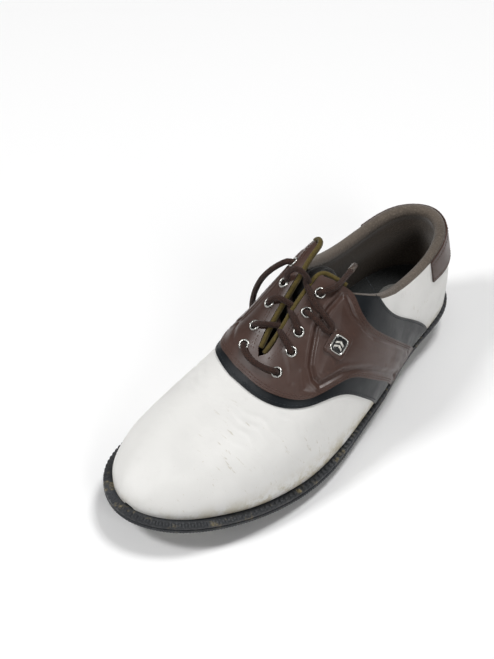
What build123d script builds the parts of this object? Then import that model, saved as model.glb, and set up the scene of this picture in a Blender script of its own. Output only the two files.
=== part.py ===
"""Left golf shoe in the saddle style, laced, with twist-out cleats.

Millimetres. Toe towards -Y, heel towards +Y, the wearer's left (outer side) towards +X, +Z up,
and z = 0 is the ground under the cleat tips. The upper is a stack of leather layers laid over one
formula for the last: a feather outline at the bottom, a ridge line at the top and a rounded
cross-section between them. Each layer is a thin body at its own distance from that surface.
"""
from build123d import *
import math
import os

import numpy as np

os.makedirs("parts", exist_ok=True)

# ---------------------------------------------------------------- driving dimensions
# Feather outline, where the upper meets the welt, from the back of the heel round the outer side.
FEATHER = [(-3, 145), (14, 138), (26, 118), (30, 95), (34, 70), (41, 42), (48, 5), (53, -40), (49, -78), (37, -111),
           (16, -137), (-10, -145), (-34, -132), (-47, -102), (-50, -62), (-43, -14), (-35, 35), (-35, 74), (-33, 105),
           (-22, 134)]
# Height of the ridge over the instep, of the feather edge, and the sideways place of the ridge, all by y.
RIDGE = [(-150, 38), (-125, 43.5), (-100, 50), (-60, 61.5), (-20, 84), (20, 107), (50, 114), (90, 118), (150, 118)]
FEATHER_HEIGHT = [(-150, 24), (-120, 20), (-90, 15.7), (-55, 12.5), (-20, 12.2), (20, 15), (60, 17.2), (100, 19.8), (150, 20.7)]
RIDGE_SIDE = [(-150, -10), (-100, -9), (-50, -7), (0, -4), (50, -2), (150, -3)]
# Fullness of the cross-section: 2 is an ellipse, more is squarer.
FULLNESS = [(-150, 2.4), (-60, 2.3), (0, 2.2), (40, 2.45), (80, 2.5), (150, 3.3)]
# The inner eyestay stands a little proud, as the laces are slack: how much, by y.
INNER_LIFT = [(-150, 0), (-60, 0), (-38, 0), (-20, 1), (5, 4), (25, 6), (60, 6), (150, 6)]
# Move that puts the centre of the whole shoe's box over the origin.
CENTRING = (-1.3, 1.8, 0)
TOE_CENTRE = -100
HEEL_CENTRE = 113
TOE_END = -145
TOPLINE = [(10, 103), (25, 100), (45, 89.5), (70, 80), (105, 78.8), (130, 83), (150, 84.5)]

# Seams as y over the girth angle: 0 at the inner feather edge, pi/2 on the ridge, pi at the outer one.
TRIM_FRONT = [(0, 28), (0.33, 4), (0.6, -17), (0.78, -30), (1.14, -44), (1.36, -49), (1.57, -52.5), (1.84, -54),
              (2.03, -51.6), (2.26, -43), (2.41, -32), (2.53, -19.5), (2.64, -9.5), (2.81, 2), (2.96, 12), (3.14, 26)]
SADDLE_FRONT = [(0, 45), (0.24, 24), (0.45, 8), (0.61, -6), (0.78, -21), (1.0, -34.5), (1.3, -42.5), (1.57, -46.8),
                (1.8, -48.6), (1.98, -46.8), (2.12, -43), (2.24, -38), (2.36, -29), (2.45, -18), (2.55, -5),
                (2.69, 6.8), (2.9, 22.2), (3.14, 45)]
SADDLE_REAR = [(0, 80), (0.22, 57), (0.42, 41), (0.62, 33), (0.78, 31), (0.95, 32), (1.15, 34.5), (1.3, 34), (1.42, 31),
               (1.57, 24), (1.7, 18), (1.78, 19.4), (1.89, 21.7), (1.98, 23.7), (2.1, 25.3), (2.22, 24.5), (2.36, 24.9),
               (2.52, 29.4), (2.72, 41), (2.92, 57), (3.14, 80)]
TRIM_REAR = [(0, 100), (0.24, 76), (0.42, 60), (0.62, 49), (0.79, 45), (1.1, 44), (1.57, 38), (2.0, 41), (2.35, 43.5),
             (2.52, 47.4), (2.72, 58.8), (2.9, 75.7), (3.14, 100)]
SEAM_LAP = 9

# Leather and lining thicknesses, and where each layer's inner face stands off the last surface.
LEATHER = 1.5
LINING = 0.7
TRIM = 0.9
SADDLE = 1.2
AIR = 0.1

# Throat between the eyestays, outer and inner edge as (x, y), bottom first.
THROAT_OUTER = [(0.8, -38.5), (4.0, -33), (4.4, -18), (3.8, -4), (4.2, 10), (4.6, 44)]
THROAT_INNER = [(0.8, -38.5), (-2.6, -31), (-5.6, -15), (-6.2, 0), (-6.8, 11), (-9.4, 44)]
EYELETS_OUTER = [(16, -36.2), (16.1, -22.8), (13.2, -12.5), (10.6, -2.3), (10.6, 10)]
EYELETS_INNER = [(-11.8, -34), (-12.9, -22.5), (-12.5, -9), (-11.2, 3.2), (-14.5, 16.5)]
EYELET_HOLE = 2.45
EYELET_FLANGE = 4.1

# Sole stack.
WELT_WIDTH = [(-150, 6), (-110, 5.8), (-70, 5.2), (-30, 4.6), (10, 2.6), (45, 1.8), (80, 1.6), (120, 2.0), (150, 2.4)]
WELT_THICK = 2.6
OUTSOLE_GROW = [(-150, 5.6), (-110, 5.4), (-70, 4.8), (-30, 4.2), (10, 2.2), (45, 1.0), (80, -0.4), (120, -0.6), (150, -0.4)]
SOLE_DROP = 6.3
HEEL_BREAST = 60
HEEL_BOTTOM = 5.5
WELT_INSET = 7
CLEATS = [(31, -92), (-31, -88), (35, -48), (-33, -44), (-2, -116), (13, 80), (-17, 80), (-3, 121)]
CLEAT_RADIUS = 10.5
CLEAT_HEIGHT = 5.5
STEM_RADIUS = 4.6
SOCKET_RADIUS = 8.2
SOCKET_DEPTH = 3.1
RUNNING_FIT = 0.06

# Laces: each half starts at the middle of the bar across the foot of the throat.
LACE_RADIUS = 1.9
LACE_OUT = 4.8
LACE_IN = -4.6
AGLET_RADIUS = 2.2


# ---------------------------------------------------------------- smooth curves
class Smooth:
    """Cubic curve through knots, either open (natural ends) or closed."""

    def __init__(self, at, values, closed=False):
        self.at = np.asarray(at, float)
        self.values = np.asarray(values, float)
        self.closed = closed
        steps = np.diff(self.at)
        count = len(self.at)
        matrix = np.zeros((count, count))
        target = np.zeros(self.values.shape)
        for k in range(1, count - 1):
            matrix[k, k - 1:k + 2] = steps[k - 1], 2 * (steps[k - 1] + steps[k]), steps[k]
            rise = (self.values[k + 1] - self.values[k]) / steps[k]
            target[k] = 6 * (rise - (self.values[k] - self.values[k - 1]) / steps[k - 1])
        matrix[0, 0] = 1
        matrix[-1, -1] = 1
        if closed:
            matrix[0, -1] = -1
            matrix[-1, [0, 1]] = 2 * steps[0], steps[0]
            matrix[-1, [-2, -1]] = steps[-1], 2 * steps[-1]
            rise = (self.values[1] - self.values[0]) / steps[0]
            target[-1] = 6 * (rise - (self.values[-1] - self.values[-2]) / steps[-1])
        self.bend = np.linalg.solve(matrix, target)

    def __call__(self, where):
        where = np.asarray(where, float)
        if self.closed:
            where = self.at[0] + np.mod(where - self.at[0], self.at[-1] - self.at[0])
        k = np.clip(np.searchsorted(self.at, where, side="right") - 1, 0, len(self.at) - 2)
        step = self.at[k + 1] - self.at[k]
        a = (self.at[k + 1] - where) / step
        b = 1 - a
        if self.values.ndim > 1:
            step, a, b = step[..., None], a[..., None], b[..., None]
        curve = ((a**3 - a) * self.bend[k] + (b**3 - b) * self.bend[k + 1]) * step * step / 6
        return a * self.values[k] + b * self.values[k + 1] + curve


def by_y(pairs):
    """Smooth curve from (place, value) pairs."""
    return Smooth([p[0] for p in pairs], [p[1] for p in pairs])


def loop_through(points):
    """Closed smooth outline through points, its parameter running 0 to 1 by chord length."""
    ring = np.array(points + points[:1], float)
    chords = np.linalg.norm(np.diff(ring, axis=0), axis=1)
    return Smooth(np.concatenate([[0], np.cumsum(chords)]) / chords.sum(), ring, closed=True)


outline = loop_through(FEATHER)
ridge = by_y(RIDGE)
feather_height = by_y(FEATHER_HEIGHT)
ridge_side = by_y(RIDGE_SIDE)
fullness = by_y(FULLNESS)
inner_lift = by_y(INNER_LIFT)
topline = by_y(TOPLINE)
welt_width = by_y(WELT_WIDTH)
outsole_grow = by_y(OUTSOLE_GROW)
trim_front = by_y(TRIM_FRONT)
saddle_front = by_y(SADDLE_FRONT)
saddle_rear = by_y(SADDLE_REAR)
trim_rear = by_y(TRIM_REAR)


SAMPLES = np.linspace(0, 1, 4001)
SIDE_Y = outline(SAMPLES)[:, 1]
TIP = SAMPLES[np.argmin(SIDE_Y)]
HEEL_TIP = SAMPLES[np.argmax(SIDE_Y)]


# ---------------------------------------------------------------- the last surface
def bulge(y, rise):
    """Factor on the half width: fuller just above the feather, drawn in again near the collar."""
    rear = 1 / (1 + np.exp(-(y - 40) / 18))
    front = 1 + 0.053 * (1 - np.exp(-rise / 9))
    back = 1 + 0.075 * np.sin(np.clip(rise / 38, 0, 1) * math.pi / 2) - 0.10 * (np.clip(rise - 20, 0, None) / 45) ** 1.5
    return front * (1 - rear) + back * rear


def heel_clamp(y):
    """y held in front of the heel centre, turning smoothly."""
    soft = 8.0
    return HEEL_CENTRE - soft * np.logaddexp(0, (HEEL_CENTRE - y) / soft)


def girth(u, angle):
    """Point of the last over feather parameter u, at girth angle 0 (feather) to pi/2 (ridge)."""
    u, angle = np.broadcast_arrays(np.asarray(u, float), np.asarray(angle, float))
    foot = outline(u)
    y_mid = heel_clamp(foot[..., 1])
    middle = np.stack([ridge_side(y_mid), y_mid], -1)
    reach = foot - middle
    power = 2 / fullness(foot[..., 1])
    out = np.abs(np.cos(angle)) ** power
    up = np.abs(np.sin(angle)) ** power
    y = middle[..., 1] + out * reach[..., 1]
    base = feather_height(foot[..., 1])
    rise = (ridge(y) - base) * up * toe_drop(foot[..., 1])
    sweep_angle = np.where(np.mod(u, 1) < TIP, math.pi - angle, angle)
    lift = inner_lift(y) * np.exp(-(((sweep_angle - 1.42) / 0.24) ** 2) / 2)
    plan = middle + (out * bulge(foot[..., 1], rise))[..., None] * reach
    return np.concatenate([plan, (base + rise + lift)[..., None]], -1)


def toe_drop(y):
    """How the toe box falls to the feather edge at the tip: 1 behind the toe centre, 0 at the tip."""
    into = np.clip((TOE_CENTRE - y) / (TOE_CENTRE - TOE_END), 0, 1)
    return (1 - into**2.4) ** (1 / 2.4)


def off_last(u, angle, stand_off):
    """Point at a distance outward from the last."""
    angle = np.clip(np.asarray(angle, float), 1e-3, math.pi / 2 - 2e-3)
    step = 1e-4
    along = girth(u + step, angle) - girth(u - step, angle)
    across = girth(u, angle + step) - girth(u, angle - step)
    normal = np.cross(across, along)
    normal = normal / np.linalg.norm(normal, axis=-1)[..., None]
    return girth(u, angle) + normal * np.asarray(stand_off, float)[..., None]


def side_u(y, outer):
    """Feather parameter where the outline passes y, on the outer or the inner side."""
    start = HEEL_TIP if HEEL_TIP < 0.5 else HEEL_TIP - 1
    if outer:
        grid = np.linspace(start, TIP, 2000)
        return np.interp(-y, -outline(grid)[:, 1], grid)
    grid = np.linspace(TIP, start + 1, 2000)
    return np.interp(y, outline(grid)[:, 1], grid)


def over_instep(y, angle, stand_off=0.0):
    """Point at y, with the girth angle running 0 (inner feather) over pi/2 (ridge) to pi (outer feather)."""
    y, angle = np.broadcast_arrays(np.asarray(y, float), np.asarray(angle, float))
    outer = angle > math.pi / 2
    u = np.where(outer, side_u(y, True), side_u(y, False))
    return off_last(u, np.where(outer, math.pi - angle, angle), np.broadcast_to(stand_off, y.shape))


def even(points, count):
    """The same run of points, spaced evenly by length."""
    length = np.concatenate([[0], np.cumsum(np.linalg.norm(np.diff(points, axis=0), axis=1))])
    places = np.linspace(0, length[-1], count)
    return np.stack([np.interp(places, length, points[:, k]) for k in range(3)], -1)


def vectors(points):
    return [Vector(*[float(c) for c in p]) for p in points]


# ---------------------------------------------------------------- ways to make a layer
def band_face(front, rear, stand_off, rows=15, columns=41):
    """Sheet over the instep between a front and a rear seam, from the inner to the outer feather edge."""
    angles = np.linspace(0.0, math.pi, 400)
    grid = []
    for share in np.linspace(0, 1, rows):
        y = front(angles) * (1 - share) + rear(angles) * share
        grid.append(vectors(even(over_instep(y, angles, stand_off), columns)))
    return Face.make_surface_from_array_of_points(grid, tol=0.05)


def heel_face(front_outer, front_inner, low, high, stand_off, rows=9, columns=45):
    """Sheet round the heel between two heights over y; stand_off is a distance or a rule over the height share."""
    u = np.linspace(float(side_u(front_inner, False)) - 1, float(side_u(front_outer, True)), 160)
    angles = np.linspace(0.0, 1.4, 260)
    sheet = girth(u[:, None], angles[None, :])
    bottom = np.array([np.interp(0, sheet[k, :, 2] - low(sheet[k, :, 1]), angles) for k in range(160)])
    top = np.array([np.interp(0, sheet[k, :, 2] - high(sheet[k, :, 1]), angles) for k in range(160)])
    grid = []
    for share in np.linspace(0, 1, rows):
        angle = bottom * (1 - share) + top * share
        spot = girth(u, angle)
        base = feather_height(spot[:, 1])
        height_share = (spot[:, 2] - base) / (topline(spot[:, 1]) - base)
        distance = stand_off(height_share) if callable(stand_off) else stand_off + 0 * u
        grid.append(vectors(even(off_last(u, angle, distance), columns)))
    return Face.make_surface_from_array_of_points(grid, tol=0.05)


def toe_arches(stand_off, rear_y):
    """Arches over the forepart from the tip back to rear_y, each as its y and a run of points."""
    tip_y = TOE_END - stand_off
    steps = np.linspace(0.09 + 0.05 * abs(stand_off), 1, 9) ** 2
    stations = [tip_y + (TOE_CENTRE - tip_y) * s for s in steps]
    stations += list(np.arange(TOE_CENTRE + 16, rear_y, 16)) + [rear_y]
    arches = []
    for y in stations:
        reach = (TOE_CENTRE - TOE_END) / (TOE_CENTRE - tip_y)
        y_on_last = TOE_CENTRE - (TOE_CENTRE - y) * reach if y < TOE_CENTRE else y
        angles = np.linspace(0, math.pi, 240)
        arch = over_instep(np.full(240, y_on_last), angles, 0.0)
        spread = arch[:, [0, 2]]
        tangent = np.gradient(spread, axis=0)
        tangent /= np.linalg.norm(tangent, axis=1)[:, None]
        outward = np.stack([-tangent[:, 1], tangent[:, 0]], -1)
        spread = spread + outward * stand_off
        arch = np.stack([spread[:, 0], np.full(240, y), spread[:, 1]], -1)
        arch = even(arch[2:-2], 23)
        arches.append((y, arch))
    return arches


def forepart_sections(stand_off, rear_y, drop=0.0):
    """Section faces of the forepart of the last at a stand-off, the foot of each lowered by drop."""
    faces = []
    for y, arch in toe_arches(stand_off, rear_y):
        spots = [(float(p[0]), float(p[2])) for p in arch]
        with BuildSketch(Plane.XZ.offset(-y)) as section:
            with BuildLine():
                Spline(*spots)
                if drop:
                    left, right = spots[0], spots[-1]
                    Polyline(right, (right[0], right[1] - drop), (left[0], left[1] - drop), left)
                else:
                    Line(spots[-1], spots[0])
            make_face()
        faces.append(section.sketch.faces()[0])
    return faces


def layer(face, thickness):
    """Thicken a sheet away from the inside of the shoe; used inside a part."""
    middle = face.center()
    away = middle - Vector(0, middle.Y * 0.93, 30)
    direction = 1 if face.normal_at(middle).dot(away) > 0 else -1
    thicken(face, amount=direction * thickness)


def seam_side_view(seam, shift):
    """A seam of the outer side as seen from that side, from the feather edge up past the ridge."""
    angles = np.array([3.14, 3.0, 2.85, 2.7, 2.55, 2.4, 2.25, 2.1, 1.9, 1.7, 1.6])
    points = over_instep(seam(angles) + shift, angles)
    run = [(float(p[1]), float(p[2])) for p in points]
    return [(run[0][0], run[0][1] - 8)] + run + [(run[-1][0], 150)]


def side_sketch(points, far_y):
    """Flat region from a side-view line to a far y, for cutting across the whole shoe."""
    with BuildSketch(Plane.YZ) as region:
        with BuildLine():
            Polyline(*points, (far_y, points[-1][1]), (far_y, points[0][1]), close=True)
        make_face()
    return region.sketch.faces()[0]


def height_sketch(curve, low_y, high_y, far_z, lift=0.0, steps=25):
    """Flat region in side view from a height curve to a far height."""
    places = np.linspace(low_y, high_y, steps)
    with BuildSketch(Plane.YZ) as region:
        with BuildLine():
            spots = [(float(y), float(curve(y)) + lift) for y in places]
            Spline(*spots)
            Polyline(spots[-1], (high_y, far_z), (low_y, far_z), spots[0])
        make_face()
    return region.sketch.faces()[0]


def throat_sketch(grow):
    """Plan view of the throat opening, widened by grow."""
    outer = [(x + grow, y) for x, y in THROAT_OUTER[1:]]
    inner = [(x - grow, y) for x, y in THROAT_INNER[1:]]
    tip = (THROAT_OUTER[0][0], THROAT_OUTER[0][1] - grow)
    with BuildSketch(Plane.XY.offset(20)) as region:
        with BuildLine():
            Spline(*reversed(inner), tip, *outer)
            Line(outer[-1], inner[-1])
        make_face()
    return region.sketch.faces()[0]


def on_top(x, y, stand_off=0.0):
    """Point of the upper over a plan position near the ridge, at a distance outward from the last."""
    angles = np.linspace(0.35, math.pi - 0.35, 500)
    arch = over_instep(np.full(500, float(y)), angles)
    angle = float(np.interp(x, arch[:, 0], angles))
    spot = over_instep(float(y), angle, stand_off)
    return [float(c) for c in spot]


def outward(x, y):
    low, high = on_top(x, y, -1.0), on_top(x, y, 1.0)
    return tuple((b - a) / 2 for a, b in zip(low, high))


def eyelet_plane(x, y, stand_off):
    return Plane(origin=on_top(x, y, stand_off), z_dir=outward(x, y))


EYELETS = EYELETS_OUTER + EYELETS_INNER
SADDLE_IN = 2 * AIR + TRIM
SADDLE_OUT = SADDLE_IN + SADDLE
saddle_cut = throat_sketch(0)
under_cut = throat_sketch(1.2)


def punch_eyelets(radius):
    """Cut the eyelet holes through the current part."""
    with BuildSketch(*[eyelet_plane(x, y, -6) for x, y in EYELETS]) as holes:
        Circle(radius)
    extrude(holes.sketch, amount=14, mode=Mode.SUBTRACT)


def collar_points(stand_off, drop):
    """Run of points along the topline from the outer eyestay corner round the heel to the inner one."""
    u = np.linspace(float(side_u(35, False)) - 1, float(side_u(28, True)), 140)
    angles = np.linspace(0.2, 1.5, 400)
    run = []
    for place in u[::-1]:
        line = girth(place, angles)
        angle = float(np.interp(0, line[:, 2] - (topline(line[:, 1]) - drop), angles))
        run.append(off_last(place, angle, stand_off))
    return vectors(even(np.array(run), 25))


COLLAR_RADIUS = 4.0
collar_run = collar_points(-3.4, COLLAR_RADIUS)


def collar_tube(radius, mode=Mode.ADD):
    with BuildLine() as path:
        Spline(*collar_run)
    with BuildSketch(Plane(origin=path.line @ 0, z_dir=path.line % 0)) as ring:
        Circle(radius)
    sweep(sections=ring.sketch, path=path.line, mode=mode)


floor_cut = height_sketch(feather_height, -150, 152, -10, lift=0.05)
front_lap = side_sketch(seam_side_view(trim_front, SEAM_LAP), 200)
rear_lap = side_sketch(seam_side_view(trim_rear, -SEAM_LAP), -200)


def cut_across(region):
    """Remove a side-view region from the current part, right across the shoe."""
    extrude(region, amount=90, both=True, mode=Mode.SUBTRACT)


def largest(part):
    """The main solid, without the crumbs a cut along the collar can leave."""
    return Part([part.solids().sort_by(SortBy.VOLUME)[-1]])


def lining_depth(share):
    return -(3.8 + 2.4 * share)


TONGUE_Y = np.linspace(-50, 33, 13)
TONGUE_DEPTH = [(-50, -7.0), (-44, -9.0), (-36, -13.2), (-20, -14.0), (33, -14.0)]
TONGUE_HALF = [(-50, 10.5), (-30, 13.5), (0, 15), (33, 12)]
TONGUE_ARCH = 0.02
tongue_depth = by_y(TONGUE_DEPTH)
tongue_half = by_y(TONGUE_HALF)


def tongue_face(raised):
    """Sheet along the instep inside the shoe, arched across, at a depth below the ridge."""
    grid = []
    for y in TONGUE_Y:
        across = np.linspace(-1, 1, 11) * float(tongue_half(y))
        height = float(ridge(y)) + float(tongue_depth(y)) + raised - TONGUE_ARCH * across**2
        middle = float(ridge_side(y))
        grid.append([Vector(middle + float(x), float(y), float(z)) for x, z in zip(across, height)])
    return Face.make_surface_from_array_of_points(grid, tol=0.05)


BINDING_OUTER = [(2.6, -32.5), (3.0, -18), (2.4, -4), (2.8, 10), (3.3, 15.5), (5.0, 18.9), (9.0, 21.2), (15.0, 23.4), (18.6, 25.0)]
BINDING_INNER = [(-1.4, -31), (-4.2, -15), (-4.8, 0), (-5.4, 11), (-7.0, 25), (-8.0, 32), (-10.5, 35.2), (-14.5, 36.3)]
BINDING_RADIUS = 1.25


def tube(points, radius, mode=Mode.ADD):
    """Round cord along a smooth run of points; used inside a part."""
    with BuildLine() as path:
        Spline(*points)
    with BuildSketch(Plane(origin=path.line @ 0, z_dir=path.line % 0)) as ring:
        Circle(radius)
    sweep(sections=ring.sketch, path=path.line, mode=mode)


BADGE_Y = -0.5
BADGE_ANGLE = 2.25
badge_seat = Plane(
    origin=tuple(float(c) for c in over_instep(BADGE_Y, BADGE_ANGLE, SADDLE_OUT + 0.06)),
    x_dir=(9.0, 5.8, -8.2),
    z_dir=tuple(float(c) for c in over_instep(BADGE_Y, BADGE_ANGLE, 1.0) - over_instep(BADGE_Y, BADGE_ANGLE, 0.0)),
)


feather_samples = np.linspace(0, 1, 72, endpoint=False)


def plan_sketch(grow):
    """Plan view of the feather outline, grown outward by a distance or a rule over y."""
    spot = outline(feather_samples)
    tangent = outline(feather_samples + 1e-4) - outline(feather_samples - 1e-4)
    tangent /= np.linalg.norm(tangent, axis=1)[:, None]
    normal = np.stack([tangent[:, 1], -tangent[:, 0]], -1)
    if np.sum(normal * spot) < 0:
        normal = -normal
    distance = grow(spot[:, 1]) if callable(grow) else np.full(len(spot), float(grow))
    ring = spot + normal * distance[:, None]
    with BuildSketch(Plane.XY.offset(-5)) as region:
        with BuildLine():
            Spline(*[(float(x), float(y)) for x, y in ring], periodic=True)
        make_face()
    return region.sketch.faces()[0]


def slab(low, high, low_y=-165, high_y=165, steps=30):
    """Side-view band between two height rules."""
    places = np.linspace(low_y, high_y, steps)
    with BuildSketch(Plane.YZ) as region:
        with BuildLine():
            bottom = [(float(y), float(low(y))) for y in places]
            top = [(float(y), float(high(y))) for y in places][::-1]
            Spline(*bottom)
            Line(bottom[-1], top[0])
            Spline(*top)
            Line(top[-1], bottom[0])
        make_face()
    return region.sketch.faces()[0]


def sole_bottom(y):
    return feather_height(y) - SOLE_DROP


def sole_layer(grow, low, high):
    """Sole piece: the plan outline raised, kept only between two height rules; used inside a part."""
    extrude(plan_sketch(grow), amount=60)
    extrude(slab(low, high), amount=90, both=True, mode=Mode.INTERSECT)


def sole_plane(x, y):
    """Plane on the tread under a cleat, facing up, square to the sole there."""
    if y > HEEL_BREAST:
        return Plane(origin=(x, y, HEEL_BOTTOM))
    slope = float(sole_bottom(y + 1) - sole_bottom(y - 1)) / 2
    return Plane(origin=(x, y, float(sole_bottom(y))), x_dir=(1, 0, 0), z_dir=(0, -slope, 1))


sockets = [sole_plane(x, y) for x, y in CLEATS]


def lay(x, y, distance):
    return tuple(on_top(x, y, distance))


bar_middle = lay(1.0, -39.6, 4.4)


def through(place, upward):
    """The two points of a lace passing an eyelet."""
    x, y = place
    low, high = lay(x, y, LACE_IN), lay(x, y, LACE_OUT)
    return [low, high] if upward else [high, low]


L1, L2, L3, L4, L5 = EYELETS_OUTER
M1, M2, M3, M4, M5 = EYELETS_INNER
ROUTE_A = (
    [bar_middle, lay(9, -39.3, 4.5)]
    + through(L1, False)
    + through(M2, True)
    + [lay(-5.8, -19.8, 5.2), lay(0, -17, 3.0), lay(5.4, -14.4, -4.2)]
    + through(L3, True)
    + [lay(5.6, -8.8, 5.0), lay(-0.8, -6.2, -1.8), lay(-6.6, -1.6, -4.6)]
    + [lay(M4[0], M4[1], LACE_IN), (-11.0, 2.2, 110.5), (-5.5, 4.2, 117.4), (0.2, 6.3, 115.7), (2.4, 8.6, 108.5)]
    + [lay(3.2, 9.6, -3.6)]
    + through(L5, True)
    + [(18.4, 15.4, 107.2), (16.8, 25.2, 107), (12.4, 36.9, 103.4)]
)
ROUTE_B = (
    [bar_middle, lay(-6.5, -38.6, 4.5)]
    + through(M1, False)
    + [lay(2.0, -29.4, -9.0)]
    + through(L2, True)
    + [lay(6.2, -19.6, 5.2), lay(0.4, -17.4, -2.0), lay(-6.4, -13.4, -4.6)]
    + through(M3, True)
    + [lay(-7.4, -5.0, 6.4), lay(-1, -4.6, 3.6), lay(5.2, -3.6, -4.2)]
    + [lay(L4[0], L4[1], LACE_IN), lay(L4[0], L4[1], 4.6)]
    + [lay(19.4, -1.2, 4.4), lay(26.0, -1.8, 4.6), lay(26.2, 3.0, 4.6), lay(19.6, 3.1, 4.4), lay(12.0, 3.2, 4.8)]
    + [lay(4.0, 7.0, 4.4), lay(-1.0, 9.4, -1.6), lay(-7.0, 12.4, -4.8)]
    + [lay(M5[0], M5[1], LACE_IN), lay(M5[0], M5[1], 5.0)]
    + [(-26.5, 11, 102.5), (-35, 9.6, 91), (-41, 9.6, 79), (-45.5, 10.6, 66), (-48.5, 12.5, 53), (-49.5, 13.6, 44)]
)


def arc_radii(points):
    """Radius of the arc at each inner point: as wide as its shorter neighbour run allows."""
    spots = [Vector(*p) for p in points]
    radii = []
    for before, here, after in zip(spots, spots[1:], spots[2:]):
        first, second = here - before, after - here
        turn = math.radians(first.get_angle(second))
        radii.append(0.45 * min(first.length, second.length) / math.tan(turn / 2))
    return radii


def lace(points, name):
    """Round lace along straight runs joined by arcs; used inside a part."""
    radii = arc_radii(points)
    with BuildLine() as path:
        FilletPolyline(*points, radius=radii)
    with BuildSketch(Plane(origin=path.line @ 0, z_dir=path.line % 0)) as ring:
        Circle(LACE_RADIUS)
    sweep(sections=ring.sketch, path=path.wires()[0])
    print(name, "radii", [round(r, 1) for r in radii], "length", round(path.wires()[0].length, 1))
    return path.wires()[0].length


def aglet(start, end):
    """Tip sleeve going on from a lace's end; used inside a part."""
    axis = Vector(*end) - Vector(*start)
    with BuildSketch(Plane(origin=start, z_dir=axis)) as ring:
        Circle(AGLET_RADIUS)
    extrude(ring.sketch, amount=axis.length)


parts = {}

# ---------------------------------------------------------------- upper: base leather
with BuildPart() as vamp:
    loft(sections=forepart_sections(0.0, 42))
    loft(sections=forepart_sections(-LEATHER, 43, 3.0), mode=Mode.SUBTRACT)
    cut_across(front_lap)
    cut_across(floor_cut)
parts["vamp"] = vamp.part

with BuildPart() as vamp_lining:
    loft(sections=forepart_sections(-LEATHER - AIR, 30))
    loft(sections=forepart_sections(-LEATHER - AIR - LINING, 31, 3.0), mode=Mode.SUBTRACT)
    extrude(throat_sketch(3), amount=110, mode=Mode.SUBTRACT)
    punch_eyelets(3.4)
    cut_across(floor_cut)
parts["vamp_lining"] = vamp_lining.part

with BuildPart() as toe_puff:
    loft(sections=forepart_sections(-LEATHER - 2 * AIR - LINING, -98))
    loft(sections=forepart_sections(-LEATHER - 2 * AIR - LINING - 0.8, -97, 3.0), mode=Mode.SUBTRACT)
    cut_across(floor_cut)
parts["toe_puff"] = toe_puff.part

with BuildPart() as quarter:
    layer(heel_face(26, 26, feather_height, lambda y: topline(y) - 3, -LEATHER), LEATHER)
    cut_across(rear_lap)
    collar_tube(COLLAR_RADIUS + 0.05, mode=Mode.SUBTRACT)
    cut_across(floor_cut)
parts["quarter"] = largest(quarter.part)

with BuildPart() as facing_backer:
    layer(band_face(lambda a: trim_front(a) + SEAM_LAP + 0.6, lambda a: trim_rear(a) - SEAM_LAP - 0.6, -LEATHER), LEATHER - AIR)
    extrude(under_cut, amount=110, mode=Mode.SUBTRACT)
    punch_eyelets(2.95)
    cut_across(height_sketch(topline, 19, 130, 160, lift=-4.5))
    collar_tube(COLLAR_RADIUS + 0.05, mode=Mode.SUBTRACT)
    cut_across(floor_cut)
parts["facing_backer"] = facing_backer.part

# ---------------------------------------------------------------- upper: trims over it
with BuildPart() as saddle_underlay:
    layer(band_face(trim_front, trim_rear, AIR), TRIM)
    extrude(under_cut, amount=110, mode=Mode.SUBTRACT)
    punch_eyelets(2.95)
    cut_across(height_sketch(topline, 19, 130, 160, lift=-4.5))
    collar_tube(COLLAR_RADIUS + 0.05, mode=Mode.SUBTRACT)
    cut_across(floor_cut)
parts["saddle_underlay"] = saddle_underlay.part

with BuildPart() as saddle:
    layer(band_face(saddle_front, saddle_rear, SADDLE_IN, rows=19), SADDLE)
    extrude(saddle_cut, amount=110, mode=Mode.SUBTRACT)
    punch_eyelets(2.95)
    collar_tube(COLLAR_RADIUS + 0.05, mode=Mode.SUBTRACT)
    cut_across(floor_cut)
parts["saddle"] = saddle.part

with BuildPart() as heel_tab:
    layer(heel_face(103, 103, lambda y: 57 + 0.09 * (145 - y), lambda y: topline(y) - 1, AIR), 1.1)
    collar_tube(COLLAR_RADIUS + 0.05, mode=Mode.SUBTRACT)
parts["heel_tab"] = heel_tab.part

# ---------------------------------------------------------------- inside the heel and collar
with BuildPart() as heel_counter:
    layer(heel_face(72, 72, feather_height, lambda y: 50 + 0 * y, -LEATHER - 1.1), 1.0)
    cut_across(floor_cut)
parts["heel_counter"] = heel_counter.part

with BuildPart() as collar_padding:
    layer(heel_face(44, 44, lambda y: 54 + 0 * y, lambda y: topline(y) - 9.5, lambda h: lining_depth(h) + 1.1), 2.0)
parts["collar_padding"] = collar_padding.part

with BuildPart() as quarter_lining:
    layer(heel_face(34, 34, feather_height, lambda y: topline(y) - 6, lining_depth), 1.0)
    collar_tube(COLLAR_RADIUS + 0.05, mode=Mode.SUBTRACT)
    cut_across(floor_cut)
parts["quarter_lining"] = largest(quarter_lining.part)

with BuildPart() as collar_roll:
    collar_tube(COLLAR_RADIUS)
parts["collar_roll"] = collar_roll.part

# ---------------------------------------------------------------- throat: tongue, bindings, eyelets
with BuildPart() as tongue:
    layer(tongue_face(0.0), 1.0)
parts["tongue"] = tongue.part

with BuildPart() as tongue_padding:
    layer(tongue_face(1.08), 1.5)
parts["tongue_padding"] = tongue_padding.part

with BuildPart() as binding_outer:
    tube([tuple(on_top(x, y, 1.0)) for x, y in BINDING_OUTER], BINDING_RADIUS)
parts["binding_outer"] = binding_outer.part

with BuildPart() as binding_inner:
    tube([tuple(on_top(x, y, 1.0)) for x, y in BINDING_INNER], BINDING_RADIUS)
parts["binding_inner"] = binding_inner.part

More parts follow.
